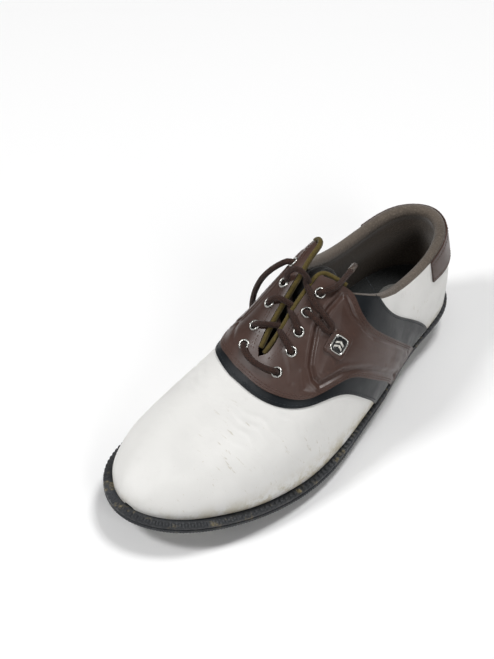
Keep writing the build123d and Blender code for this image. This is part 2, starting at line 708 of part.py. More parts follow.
for side, places in (("outer", EYELETS_OUTER), ("inner", EYELETS_INNER)):
    for number, (x, y) in enumerate(places, start=1):
        seat = eyelet_plane(x, y, SADDLE_OUT + 0.12)
        with BuildPart() as eyelet:
            with BuildSketch(seat):
                Circle(EYELET_FLANGE)
            extrude(amount=0.6)
            fillet(eyelet.edges().group_by(SortBy.LENGTH)[-1].sort_by_distance(seat.origin + seat.z_dir * 3)[:1], 0.4)
            with BuildSketch(seat):
                Circle(2.9)
            extrude(amount=-5.4)
            with BuildSketch(seat.offset(-5.4)):
                Circle(3.9)
            extrude(amount=0.5)
            with BuildSketch(seat.offset(3)):
                Circle(EYELET_HOLE)
            extrude(amount=-12, mode=Mode.SUBTRACT)
        parts[f"eyelet_{side}_{number}"] = eyelet.part

# ---------------------------------------------------------------- badge on the outer side
with BuildPart() as badge_patch:
    with BuildSketch(badge_seat):
        RectangleRounded(13.6, 12.6, 1.0)
    extrude(amount=0.8)
parts["badge_patch"] = badge_patch.part

with BuildPart() as badge_plate:
    with BuildSketch(badge_seat.offset(0.85)):
        RectangleRounded(9.6, 9.0, 2.0)
    extrude(amount=1.0)
    with BuildSketch(badge_seat.offset(1.85)):
        RectangleRounded(8.2, 7.6, 1.4)
    extrude(amount=-0.6, mode=Mode.SUBTRACT)
parts["badge_plate"] = badge_plate.part

with BuildPart() as badge_motif:
    with BuildSketch(badge_seat.offset(1.3)):
        with Locations((0, 0.9)):
            Triangle(c=4.4, B=50, C=50)
        with Locations((0, -1.9)):
            RectangleRounded(4.4, 1.0, 0.3)
    extrude(amount=0.4)
parts["badge_motif"] = badge_motif.part

# ---------------------------------------------------------------- sole stack
with BuildPart() as welt:
    sole_layer(welt_width, lambda y: feather_height(y) - WELT_THICK, feather_height)
    extrude(plan_sketch(-WELT_INSET), amount=60, mode=Mode.SUBTRACT)
parts["welt"] = welt.part

with BuildPart() as shank:
    extrude(slab(lambda y: feather_height(y) - 1.9, lambda y: feather_height(y) - 0.7, -8, 88, 12), amount=7, both=True)
parts["shank"] = shank.part

with BuildPart() as midsole:
    sole_layer(-WELT_INSET - 0.05, lambda y: feather_height(y) - WELT_THICK, feather_height)
    add(shank.part, mode=Mode.SUBTRACT)
parts["midsole"] = midsole.part

with BuildPart() as outsole:
    with BuildSketch(Plane.YZ) as profile:
        with BuildLine():
            front = [(float(y), float(sole_bottom(y))) for y in np.linspace(-165, HEEL_BREAST - 5, 22)]
            top = [(float(y), float(feather_height(y)) - WELT_THICK - 0.02) for y in np.linspace(-165, 165, 30)]
            Spline(*front)
            Polyline(front[-1], (HEEL_BREAST, HEEL_BOTTOM), (128, HEEL_BOTTOM), (165, 8.4), top[-1])
            Spline(*top)
            Line(top[0], front[0])
        make_face()
    extrude(plan_sketch(outsole_grow), amount=60)
    extrude(profile.sketch, amount=90, both=True, mode=Mode.INTERSECT)
    for seat in sockets:
        with BuildSketch(seat.offset(-3)) as pocket:
            Circle(SOCKET_RADIUS + 0.05)
        extrude(amount=SOCKET_DEPTH + 3.4, mode=Mode.SUBTRACT)
parts["outsole"] = largest(outsole.part)

with BuildPart() as insole_board:
    sole_layer(-4.3, lambda y: feather_height(y) + 0.1, lambda y: feather_height(y) + 2.0)
parts["insole_board"] = insole_board.part

with BuildPart() as footbed:
    sole_layer(-5.2, lambda y: feather_height(y) + 2.05, lambda y: feather_height(y) + 6)
parts["footbed"] = footbed.part

with BuildPart() as footbed_mark:
    with BuildSketch(Plane.XY):
        with Locations((-2, 108)):
            Circle(13)
    extrude(amount=60)
    extrude(slab(lambda y: feather_height(y) + 6.02, lambda y: feather_height(y) + 6.6), amount=90, both=True, mode=Mode.INTERSECT)
parts["footbed_mark"] = footbed_mark.part

# ---------------------------------------------------------------- cleats and their sockets
with BuildPart() as cleat_sockets:
    for seat in sockets:
        with BuildSketch(seat):
            Circle(SOCKET_RADIUS)
            Circle(STEM_RADIUS + RUNNING_FIT, mode=Mode.SUBTRACT)
        extrude(amount=SOCKET_DEPTH)
        with BuildSketch(seat.offset(SOCKET_DEPTH)):
            Circle(SOCKET_RADIUS)
        extrude(amount=0.35)
parts["cleat_sockets"] = cleat_sockets.part

for number, seat in enumerate(sockets, start=1):
    with BuildPart() as cleat:
        with BuildSketch(seat.offset(-2.7)):
            Circle(CLEAT_RADIUS)
        extrude(amount=2.0)
        chamfer(cleat.edges().filter_by(GeomType.CIRCLE), 0.5)
        with BuildSketch(seat.offset(-2.7)):
            Circle(STEM_RADIUS)
        extrude(amount=2.7 + SOCKET_DEPTH - 0.15)
        with BuildSketch(seat.offset(-2.7)):
            RegularPolygon(5.2, 6)
        extrude(amount=-0.9)
        with BuildSketch(seat.offset(-2.6)):
            with PolarLocations(8.2, 8):
                Circle(1.5)
        extrude(amount=-(CLEAT_HEIGHT - 2.6), taper=12)
    parts[f"cleat_{number}"] = cleat.part


# ---------------------------------------------------------------- laces
with BuildPart() as lace_outer:
    length_outer = lace(ROUTE_A, "lace_outer")
print("lace_outer volume over section x length", lace_outer.part.volume / (math.pi * LACE_RADIUS**2 * length_outer))
parts["lace_outer"] = lace_outer.part

with BuildPart() as lace_inner:
    length_inner = lace(ROUTE_B, "lace_inner")
print("lace_inner volume over section x length", lace_inner.part.volume / (math.pi * LACE_RADIUS**2 * length_inner))
parts["lace_inner"] = lace_inner.part


with BuildPart() as aglet_outer:
    aglet(ROUTE_A[-1], (8.1, 47.4, 99.6))
parts["aglet_outer"] = aglet_outer.part

with BuildPart() as aglet_inner:
    aglet(ROUTE_B[-1], (-50.3, 14.9, 32.2))
parts["aglet_inner"] = aglet_inner.part

for name, body in parts.items():
    placed = Pos(*CENTRING) * body
    placed.label = name
    export_step(placed, f"parts/{name}.step")
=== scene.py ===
"""Left golf shoe in the saddle style: the visual model.

Every leather layer lies on one formula for the last: a feather outline at the foot, a ridge line at
the top and a rounded cross-section between, at a distance of its own from that surface.
Metres in the scene; the formulas work in millimetres and are turned into metres at the end.
"""
import math

import bpy
import numpy as np
from bpy.props import FloatProperty, FloatVectorProperty, PointerProperty
from mathutils import Matrix, Vector


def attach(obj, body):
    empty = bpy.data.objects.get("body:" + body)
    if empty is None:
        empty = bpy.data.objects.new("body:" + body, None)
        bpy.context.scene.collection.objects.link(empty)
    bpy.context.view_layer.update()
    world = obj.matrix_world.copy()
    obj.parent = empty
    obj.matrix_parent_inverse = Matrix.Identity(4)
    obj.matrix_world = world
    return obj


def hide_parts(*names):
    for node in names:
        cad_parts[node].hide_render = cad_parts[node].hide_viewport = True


bl_info = {
    "name": "Golf shoe",
    "version": (1, 0, 0),
    "blender": (4, 5, 0),
    "location": "View3D > Sidebar > Shoe",
    "description": "Builds a laced saddle golf shoe over its CAD frame",
    "category": "Add Mesh",
}

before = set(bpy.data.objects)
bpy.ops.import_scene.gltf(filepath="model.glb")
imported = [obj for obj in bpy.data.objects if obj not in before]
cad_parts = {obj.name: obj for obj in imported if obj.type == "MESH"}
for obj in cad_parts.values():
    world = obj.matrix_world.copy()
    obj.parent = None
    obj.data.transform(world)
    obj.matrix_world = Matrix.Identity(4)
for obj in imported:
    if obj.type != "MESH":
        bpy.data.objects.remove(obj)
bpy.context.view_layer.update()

# ---------------------------------------------------------------- driving curves, millimetres
FEATHER = [(-3, 145), (14, 138), (26, 118), (30, 95), (34, 70), (41, 42), (48, 5), (53, -40), (49, -78),
           (37, -111), (16, -137), (-10, -145), (-34, -132), (-47, -102), (-50, -62), (-43, -14), (-35, 35),
           (-35, 74), (-33, 105), (-22, 134)]
RIDGE = [(-150, 38), (-125, 43.5), (-100, 50), (-60, 61.5), (-20, 84), (20, 107), (50, 114), (90, 118),
         (150, 118)]
FEATHER_HEIGHT = [(-150, 24), (-120, 20), (-90, 15.7), (-55, 12.5), (-20, 12.2), (20, 15), (60, 17.2),
                  (100, 19.8), (150, 20.7)]
RIDGE_SIDE = [(-150, -10), (-100, -9), (-50, -7), (0, -4), (50, -2), (150, -3)]
FULLNESS = [(-150, 2.4), (-60, 2.3), (0, 2.2), (40, 2.45), (80, 2.5), (150, 3.3)]
INNER_LIFT = [(-150, 0), (-60, 0), (-38, 0), (-20, 1), (5, 4), (25, 6), (60, 6), (150, 6)]
TOPLINE = [(10, 103), (25, 100), (45, 89.5), (70, 80), (105, 78.8), (130, 83), (150, 84.5)]
WELT_WIDTH = [(-150, 6), (-110, 5.8), (-70, 5.2), (-30, 4.6), (10, 2.6), (45, 1.8), (80, 1.6), (120, 2.0),
              (150, 2.4)]
OUTSOLE_GROW = [(-150, 5.6), (-110, 5.4), (-70, 4.8), (-30, 4.2), (10, 2.2), (45, 1.0), (80, -0.4),
                (120, -0.6), (150, -0.4)]
TRIM_FRONT = [(0, 28), (0.33, 4), (0.6, -17), (0.78, -30), (1.14, -44), (1.36, -49), (1.57, -52.5),
              (1.84, -54), (2.03, -51.6), (2.26, -43), (2.41, -32), (2.53, -19.5), (2.64, -9.5), (2.81, 2),
              (2.96, 12), (3.14, 26)]
SADDLE_FRONT = [(0, 45), (0.24, 24), (0.45, 8), (0.61, -6), (0.78, -21), (1.0, -34.5), (1.3, -42.5),
                (1.57, -46.8), (1.8, -48.6), (1.98, -46.8), (2.12, -43), (2.24, -38), (2.36, -29),
                (2.45, -18), (2.55, -5), (2.69, 6.8), (2.9, 22.2), (3.14, 45)]
SADDLE_REAR = [(0, 80), (0.22, 57), (0.42, 41), (0.62, 33), (0.78, 31), (0.95, 32), (1.15, 34.5), (1.3, 34),
               (1.42, 31), (1.57, 24), (1.7, 18), (1.78, 19.4), (1.89, 21.7), (1.98, 23.7), (2.1, 25.3),
               (2.22, 24.5), (2.36, 24.9), (2.52, 29.4), (2.72, 41), (2.92, 57), (3.14, 80)]
TRIM_REAR = [(0, 100), (0.24, 76), (0.42, 60), (0.62, 49), (0.79, 45), (1.1, 44), (1.57, 38), (2.0, 41),
             (2.35, 43.5), (2.52, 47.4), (2.72, 58.8), (2.9, 75.7), (3.14, 100)]
THROAT_OUTER = [(0.8, -38.5), (4.0, -33), (4.4, -18), (3.8, -4), (4.2, 10), (4.6, 44)]
THROAT_INNER = [(0.8, -38.5), (-2.6, -31), (-5.6, -15), (-6.2, 0), (-6.8, 11), (-9.4, 44)]
EYELETS_OUTER = [(16, -36.2), (16.1, -22.8), (13.2, -12.5), (10.6, -2.3), (10.6, 10)]
EYELETS_INNER = [(-11.8, -34), (-12.9, -22.5), (-12.5, -9), (-11.2, 3.2), (-14.5, 16.5)]
BINDING_OUTER = [(2.6, -32.5), (3.0, -18), (2.4, -4), (2.8, 10), (3.3, 15.5), (5.0, 18.9), (9.0, 21.2),
                 (15.0, 23.4), (18.6, 25.0)]
BINDING_INNER = [(-1.4, -31), (-4.2, -15), (-4.8, 0), (-5.4, 11), (-7.0, 25), (-8.0, 32), (-10.5, 35.2),
                 (-14.5, 36.3)]
PANEL = [(21.3, 1.99), (8.6, 1.97), (-4.1, 1.98), (-15, 2.08), (-20.4, 2.14), (-23.5, 2.24), (-22.5, 2.33),
         (-15, 2.39), (-5, 2.47), (7.7, 2.63), (27.6, 2.89), (47.4, 3.09)]
PANEL_BACK = [(67.7, 3.06), (50, 2.86), (35.7, 2.68), (26, 2.54), (21.3, 2.40), (18.6, 2.21), (21.3, 1.99)]
BADGE_PLACE = (-0.5, 2.25)
CENTRING = np.array([-1.3, 1.8, 0.0])
TOE_CENTRE, TOE_END, HEEL_CENTRE = -100.0, -145.0, 113.0
SEAM_LAP = 9.0
LEATHER, TRIM, SADDLE, AIR = 1.5, 0.9, 1.2, 0.1
TRIM_TOP, SADDLE_TOP = AIR + TRIM, AIR * 2 + TRIM + SADDLE
SOLE_DROP, HEEL_BREAST, HEEL_BOTTOM = 6.3, 60.0, 5.5
CLEATS = [(31, -92), (-31, -88), (35, -48), (-33, -44), (-2, -116), (13, 80), (-17, 80), (-3, 121)]
CLEAT_CLEARANCE = 15
DISC_CENTRE = (-2.0, 108.0)
STITCH_SIDES = 6
LACE_YARNS, YARN_SLOPE = 6, 1250.0
MM = 1000
RADIAN_MM = 62


# ---------------------------------------------------------------- smooth curves
class Smooth:
    """Cubic curve through knots, open with natural ends or closed."""

    def __init__(self, at, values, closed=False):
        self.at = np.asarray(at, float)
        self.values = np.asarray(values, float)
        self.closed = closed
        steps = np.diff(self.at)
        count = len(self.at)
        matrix = np.zeros((count, count))
        target = np.zeros(self.values.shape)
        for k in range(1, count - 1):
            matrix[k, k - 1:k + 2] = steps[k - 1], 2 * (steps[k - 1] + steps[k]), steps[k]
            rise = (self.values[k + 1] - self.values[k]) / steps[k]
            target[k] = 6 * (rise - (self.values[k] - self.values[k - 1]) / steps[k - 1])
        matrix[0, 0] = 1
        matrix[-1, -1] = 1
        if closed:
            matrix[0, -1] = -1
            matrix[-1, [0, 1]] = 2 * steps[0], steps[0]
            matrix[-1, [-2, -1]] = steps[-1], 2 * steps[-1]
            rise = (self.values[1] - self.values[0]) / steps[0]
            target[-1] = 6 * (rise - (self.values[-1] - self.values[-2]) / steps[-1])
        self.bend = np.linalg.solve(matrix, target)

    def __call__(self, where):
        where = np.asarray(where, float)
        if self.closed:
            where = self.at[0] + np.mod(where - self.at[0], self.at[-1] - self.at[0])
        k = np.clip(np.searchsorted(self.at, where, side="right") - 1, 0, len(self.at) - 2)
        step = self.at[k + 1] - self.at[k]
        a = (self.at[k + 1] - where) / step
        b = 1 - a
        if self.values.ndim > 1:
            step, a, b = step[..., None], a[..., None], b[..., None]
        curve = ((a**3 - a) * self.bend[k] + (b**3 - b) * self.bend[k + 1]) * step * step / 6
        return a * self.values[k] + b * self.values[k + 1] + curve


def by_y(pairs):
    """Smooth curve from (place, value) pairs."""
    return Smooth([p[0] for p in pairs], [p[1] for p in pairs])


def through(points, closed=False):
    """Smooth line through points, its parameter 0 to 1 by chord length."""
    ring = np.array(list(points) + (list(points[:1]) if closed else []), float)
    chords = np.linalg.norm(np.diff(ring, axis=0), axis=1)
    return Smooth(np.concatenate([[0], np.cumsum(chords)]) / chords.sum(), ring, closed)


outline = through(FEATHER, closed=True)
ridge, feather_height, ridge_side = by_y(RIDGE), by_y(FEATHER_HEIGHT), by_y(RIDGE_SIDE)
fullness, inner_lift, topline = by_y(FULLNESS), by_y(INNER_LIFT), by_y(TOPLINE)
welt_width, outsole_grow = by_y(WELT_WIDTH), by_y(OUTSOLE_GROW)
trim_front, trim_rear = by_y(TRIM_FRONT), by_y(TRIM_REAR)
saddle_front, saddle_rear = by_y(SADDLE_FRONT), by_y(SADDLE_REAR)
SAMPLES = np.linspace(0, 1, 4001)
SIDE_Y = outline(SAMPLES)[:, 1]
TIP = SAMPLES[np.argmin(SIDE_Y)]
HEEL_TIP = SAMPLES[np.argmax(SIDE_Y)]
HEEL_START = HEEL_TIP if HEEL_TIP < 0.5 else HEEL_TIP - 1
OUTER_GRID = np.linspace(HEEL_START, TIP, 2000)
INNER_GRID = np.linspace(TIP, HEEL_START + 1, 2000)


def smooth_step(value, low, high):
    """0 below low, 1 above high, with a soft cubic ramp between."""
    t = np.clip((value - low) / (high - low), 0, 1)
    return t * t * (3 - 2 * t)


def unit(vectors):
    return vectors / np.linalg.norm(vectors, axis=-1, keepdims=True)


def round_turn(count):
    """Evenly spaced angles once round."""
    return np.linspace(0, 2 * math.pi, count, endpoint=False)


# ---------------------------------------------------------------- the last surface
def bulge(y, rise):
    """Factor on the half width: fuller just above the feather, drawn in again near the collar."""
    rear = 1 / (1 + np.exp(-(y - 40) / 18))
    front = 1 + 0.053 * (1 - np.exp(-rise / 9))
    back = 1 + 0.075 * np.sin(np.clip(rise / 38, 0, 1) * math.pi / 2)
    back = back - 0.10 * (np.clip(rise - 20, 0, None) / 45) ** 1.5
    return front * (1 - rear) + back * rear


def toe_drop(y):
    """1 behind the toe centre, falling to 0 at the tip as a squarish ellipse."""
    into = np.clip((TOE_CENTRE - y) / (TOE_CENTRE - TOE_END), 0, 1)
    return (1 - into**2.4) ** (1 / 2.4)


def girth(u, angle):
    """Last over outline parameter u: half width by a power of cos(angle), height by one of sin(angle)."""
    u, angle = np.broadcast_arrays(np.asarray(u, float), np.asarray(angle, float))
    foot = outline(u)
    y_mid = HEEL_CENTRE - 8.0 * np.logaddexp(0, (HEEL_CENTRE - foot[..., 1]) / 8.0)
    middle = np.stack([ridge_side(y_mid), y_mid], -1)
    reach = foot - middle
    power = 2 / fullness(foot[..., 1])
    out = np.abs(np.cos(angle)) ** power
    up = np.abs(np.sin(angle)) ** power
    y = middle[..., 1] + out * reach[..., 1]
    base = feather_height(foot[..., 1])
    rise = (ridge(y) - base) * up * toe_drop(foot[..., 1])
    sweep_angle = np.where(np.mod(u, 1) < TIP, math.pi - angle, angle)
    lift = inner_lift(y) * np.exp(-(((sweep_angle - 1.42) / 0.24) ** 2) / 2)
    plan = middle + (out * bulge(foot[..., 1], rise))[..., None] * reach
    return np.concatenate([plan, (base + rise + lift)[..., None]], -1)


def off_last(u, angle, distance=0.0):
    """Point at a distance outward from the last, along its normal."""
    u, angle = np.broadcast_arrays(np.asarray(u, float), np.asarray(angle, float))
    angle = np.clip(angle, 1e-3, math.pi / 2 - 2e-3)
    step = 1e-4
    along = girth(u + step, angle) - girth(u - step, angle)
    across = girth(u, angle + step) - girth(u, angle - step)
    return girth(u, angle) + unit(np.cross(across, along)) * np.asarray(distance, float)[..., None]


def side_u(y, outer):
    """Outline parameter where it passes y, on the outer or inner side."""
    if outer:
        return np.interp(-np.asarray(y, float), -outline(OUTER_GRID)[:, 1], OUTER_GRID)
    return np.interp(y, outline(INNER_GRID)[:, 1], INNER_GRID)


def over(y, angle, distance=0.0):
    """Point at y, the angle running 0 (inner feather) over pi/2 (ridge) to pi (outer feather)."""
    y, angle = np.broadcast_arrays(np.asarray(y, float), np.asarray(angle, float))
    outer = angle > math.pi / 2
    u = np.where(outer, side_u(y, True), side_u(y, False))
    return off_last(u, np.where(outer, math.pi - angle, angle), np.broadcast_to(distance, y.shape))


def angle_at(x, y):
    """Girth angle of the upper over a plan position near the ridge."""
    angles = np.linspace(0.3, math.pi - 0.3, 700)
    return float(np.interp(x, over(np.full(700, float(y)), angles)[:, 0], angles))


def on_top(x, y, distance=0.0):
    return over(float(y), angle_at(x, y), distance)


def even(points, count):
    """The same run of points spaced evenly by length."""
    length = np.concatenate([[0], np.cumsum(np.linalg.norm(np.diff(points, axis=0), axis=1))])
    places = np.linspace(0, length[-1], count)
    return np.stack([np.interp(places, length, points[:, k]) for k in range(points.shape[1])], -1)


def rim_table(wanted, low_y, high_y, outer):
    """Places y and the girth angle there where wanted(points, y) crosses zero, on one side."""
    places = np.arange(low_y, high_y + 1.0)
    angles = np.linspace(math.pi - 0.25, 1.2, 400) if outer else np.linspace(0.25, math.pi - 1.2, 400)
    found = []
    for y in places:
        found.append(float(np.interp(0, wanted(over(np.full(400, y), angles), y), angles)))
    return places, np.array(found)


throat_outer, throat_inner = (by_y([(y, x) for x, y in edge]) for edge in (THROAT_OUTER, THROAT_INNER))


def throat_table(curve):
    """Girth angle of a throat edge over y; in front of the throat both sides run on the centre line."""
    places = np.arange(-60.0, 46.0)
    edge = 0.8 + (curve(np.clip(places, -38.5, 44)) - 0.8) * smooth_step(places, -36.5, -31.5)
    return places, np.array([angle_at(x, y) for x, y in zip(edge, places)])


THROAT_ANGLE = {True: throat_table(throat_outer), False: throat_table(throat_inner)}
MOUTH_ANGLE = {outer: rim_table(lambda p, y: p[:, 2] - (topline(y) - 1.5), 20, 60, outer)
               for outer in (True, False)}
FOOT_ANGLE = {True: math.pi - 0.015, False: 0.015}


def half_band(front, rear, outer, start, rows, columns):
    """Places (y, angle) of a band between two seams on one side, from the table's edge to the feather.

    A column's angle depends on y and y on the angle, so the pair is found by repeated substitution.
    """
    share = np.linspace(0, 1, rows)[:, None]
    across = np.linspace(0, 1, columns)[None, :]
    places, angles = start
    y = np.zeros((rows, columns))
    for _ in range(14):
        edge = np.interp(y, places, angles)
        angle = edge * (1 - across) + FOOT_ANGLE[outer] * across
        y = front(angle) * (1 - share) + rear(angle) * share
    return y, angle


def line_distance(y, angle, line):
    """Distance in millimetres from places on the upper to a line of (y, angle) points."""
    spot = np.stack([y, angle * RADIAN_MM], -1)
    best = np.full(y.shape, 1e9)
    run = [np.array([p[0], p[1] * RADIAN_MM]) for p in line]
    for a, b in zip(run, run[1:]):
        way = b - a
        share = np.clip(((spot - a) @ way) / (way @ way), 0, 1)
        best = np.minimum(best, np.linalg.norm(spot - a - share[..., None] * way, axis=-1))
    return best


def inside(y, angle, loop):
    """True where places lie inside a closed line, by counting crossings."""
    within = np.zeros(y.shape, bool)
    for (y0, a0), (y1, a1) in zip(loop, loop[1:] + loop[:1]):
        if a0 != a1:
            crosses = (a0 > angle) != (a1 > angle)
            within ^= crosses & (y < (y1 - y0) * (angle - a0) / (a1 - a0) + y0)
    return within


# ---------------------------------------------------------------- meshes
def grid_faces(rows, columns, wrap=False, first=0):
    """Quads of a grid of rows x columns vertices, its columns closed into a ring when wrap is set."""
    last = columns if wrap else columns - 1
    r, c = np.meshgrid(np.arange(rows - 1), np.arange(last), indexing="ij")
    a = r * columns + c
    b = r * columns + (c + 1) % columns
    return np.stack([a, b, b + columns, a + columns], -1).reshape(-1, 4) + first


def make_mesh(name, points, faces, finish, body="shoe", replaces=()):
    """Mesh object from points in millimetres and faces, smooth, riding on a body."""
    mesh = bpy.data.meshes.new(name)
    mesh.from_pydata(((np.asarray(points) + CENTRING) / MM).tolist(), [], [list(map(int, f)) for f in faces])
    mesh.validate()
    mesh.shade_smooth()
    mesh.materials.append(finish)
    thing = bpy.data.objects.new(name, mesh)
    bpy.context.scene.collection.objects.link(thing)
    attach(thing, body)
    if replaces:
        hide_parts(*replaces)
    return thing


def normals_of(grid):
    """Unit normals of a grid of points from its row and column directions."""
    normal = np.cross(np.gradient(grid, axis=1), np.gradient(grid, axis=0))
    return normal / np.maximum(np.linalg.norm(normal, axis=-1), 1e-9)[..., None]


def signed_volume(points, faces):
    """Volume inside closed faces, negative when they face inward."""
    total = 0.0
    for size in (3, 4):
        some = np.array([f for f in faces if len(f) == size], int)
        if len(some):
            for k in range(1, size - 1):
                a, b, c = points[some[:, 0]], points[some[:, k]], points[some[:, k + 1]]
                total += float(np.einsum("ij,ij->i", a, np.cross(b, c)).sum())
    return total


def outward(points, faces):
    """The faces as lists, turned over when they face inward."""
    return [f[::-1] for f in faces] if signed_volume(points, faces) < 0 else faces


def round_edges(thing, width, degrees):
    """Small round, its width in millimetres, on edges sharper than an angle."""
    bevel = thing.modifiers.new("edge", "BEVEL")
    bevel.width, bevel.segments, bevel.harden_normals = width / MM, 2, True
    bevel.limit_method, bevel.angle_limit = "ANGLE", math.radians(degrees)


def shell(name, pieces, finish, body="shoe", replaces=(), edge=0.35):
    """Closed leather piece from grids: each of pieces is (outer grid, inner grid, kept faces or None).

    Grids that share an edge are welded; open edges get a rim between outer and inner, then a small round.
    """
    if len(pieces) == 2:
        for layer in (0, 1):
            one, other = pieces[0][layer], pieces[1][layer]
            near = np.linalg.norm(one[:, 0] - other[:, -1], axis=1) < 0.6
            one[near, 0] = other[near, -1] = (one[near, 0] + other[near, -1]) / 2
    outer = np.concatenate([p[0].reshape(-1, 3) for p in pieces])
    inner = np.concatenate([p[1].reshape(-1, 3) for p in pieces])
    faces, first = [], 0
    for top, _, keep in pieces:
        quads = grid_faces(top.shape[0], top.shape[1], first=first)
        if keep is not None:
            quads = quads[keep.reshape(-1)]
        faces.append(quads)
        first += top.shape[0] * top.shape[1]
    faces = np.concatenate(faces)
    _, chosen, where = np.unique(np.round(outer / 0.02).astype(int), axis=0, return_index=True,
                                 return_inverse=True)
    outer, inner = outer[chosen], inner[chosen]
    faces = where.reshape(-1)[faces]
    clean = []
    for quad in faces.tolist():
        ring = [v for k, v in enumerate(quad) if v != quad[k - 1]]
        if len(ring) >= 3 and len(set(ring)) == len(ring):
            clean.append(ring)
    edges = {(f[k - 1], f[k]) for f in clean for k in range(len(f))}
    rim = [(a, b) for a, b in edges if (b, a) not in edges]
    count = len(outer)
    every = clean + [[v + count for v in reversed(f)] for f in clean]
    every += [[b, a, a + count, b + count] for a, b in sorted(rim)]
    points = np.concatenate([outer, inner])
    thing = make_mesh(name, points, outward(points, every), finish, body, replaces)
    if edge:
        round_edges(thing, edge, 50)
    return thing


def swept(name, path, ups, section, finish, replaces):
    """Closed bar along a path: section gives sideways and upward offsets, for all points or for each."""
    along = unit(np.gradient(path, axis=0))
    side = unit(np.cross(along, ups))
    up = np.cross(side, along)
    section = np.broadcast_to(section, (len(path),) + np.shape(section)[-2:])
    points = path[:, None] + side[:, None] * section[..., :1] + up[:, None] * section[..., 1:]
    rows, columns = points.shape[:2]
    flat = np.concatenate([points.reshape(-1, 3), [points[0].mean(0), points[-1].mean(0)]])
    faces = grid_faces(rows, columns, wrap=True).tolist()
    base = rows * columns
    faces += [[base, (k + 1) % columns, k] for k in range(columns)]
    faces += [[base + 1, base - columns + k, base - columns + (k + 1) % columns] for k in range(columns)]
    return make_mesh(name, flat, outward(flat, faces), finish, replaces=replaces)


def stitches(name, runs, finish, pitch, length=2.0, radius=0.27):
    """Rows of thread stitches along runs of (points, outward directions), each a small sunk grain."""
    around = round_turn(STITCH_SIDES)
    ends = np.array([-1.0, -0.82, -0.4, 0.4, 0.82, 1.0])
    width = np.array([0.12, 0.62, 1.0, 1.0, 0.62, 0.12])
    all_points, all_faces, first = [], [], 0
    template = grid_faces(len(ends), STITCH_SIDES, wrap=True)
    grain = len(ends) * STITCH_SIDES
    for points, ups in runs:
        points, ups = np.asarray(points, float), np.asarray(ups, float)
        step = np.concatenate([[0], np.cumsum(np.linalg.norm(np.diff(points, axis=0), axis=1))])
        count = max(int(step[-1] / pitch), 1)
        for place in (np.arange(count) + 0.5) * step[-1] / count:
            spots = [np.array([np.interp(place + d, step, points[:, k]) for k in range(3)])
                     for d in (-0.9, 0, 0.9)]
            up = np.array([np.interp(place, step, ups[:, k]) for k in range(3)])
            along = spots[2] - spots[0]
            along /= max(np.linalg.norm(along), 1e-9)
            side = np.cross(along, up)
            side /= max(np.linalg.norm(side), 1e-9)
            up = np.cross(side, along)
            ring = width[:, None, None] * radius * (np.cos(around)[None, :, None] * side
                                                    + np.sin(around)[None, :, None] * up * 0.8)
            sunk = up * (ends**2)[:, None, None] * 0.12
            grain_points = spots[1] + ends[:, None, None] * along * length / 2 + ring - sunk
            all_points.append(grain_points.reshape(-1, 3))
            all_faces += (template + first).tolist()
            for start, step_on in ((first, 1), (first + grain - 1, -1)):
                all_faces.append([start + step_on * k for k in range(STITCH_SIDES)])
            first += grain
    points = np.concatenate(all_points)
    return make_mesh(name, points, outward(points, all_faces), finish)


def seam_run(curve, angles, shift, distance):
    """Points and outward directions along a seam curve over the upper, moved by shift along y."""
    y = curve(angles) + shift
    points, high = over(y, angles, distance), over(y, angles, distance + 1.0)
    return points, high - points


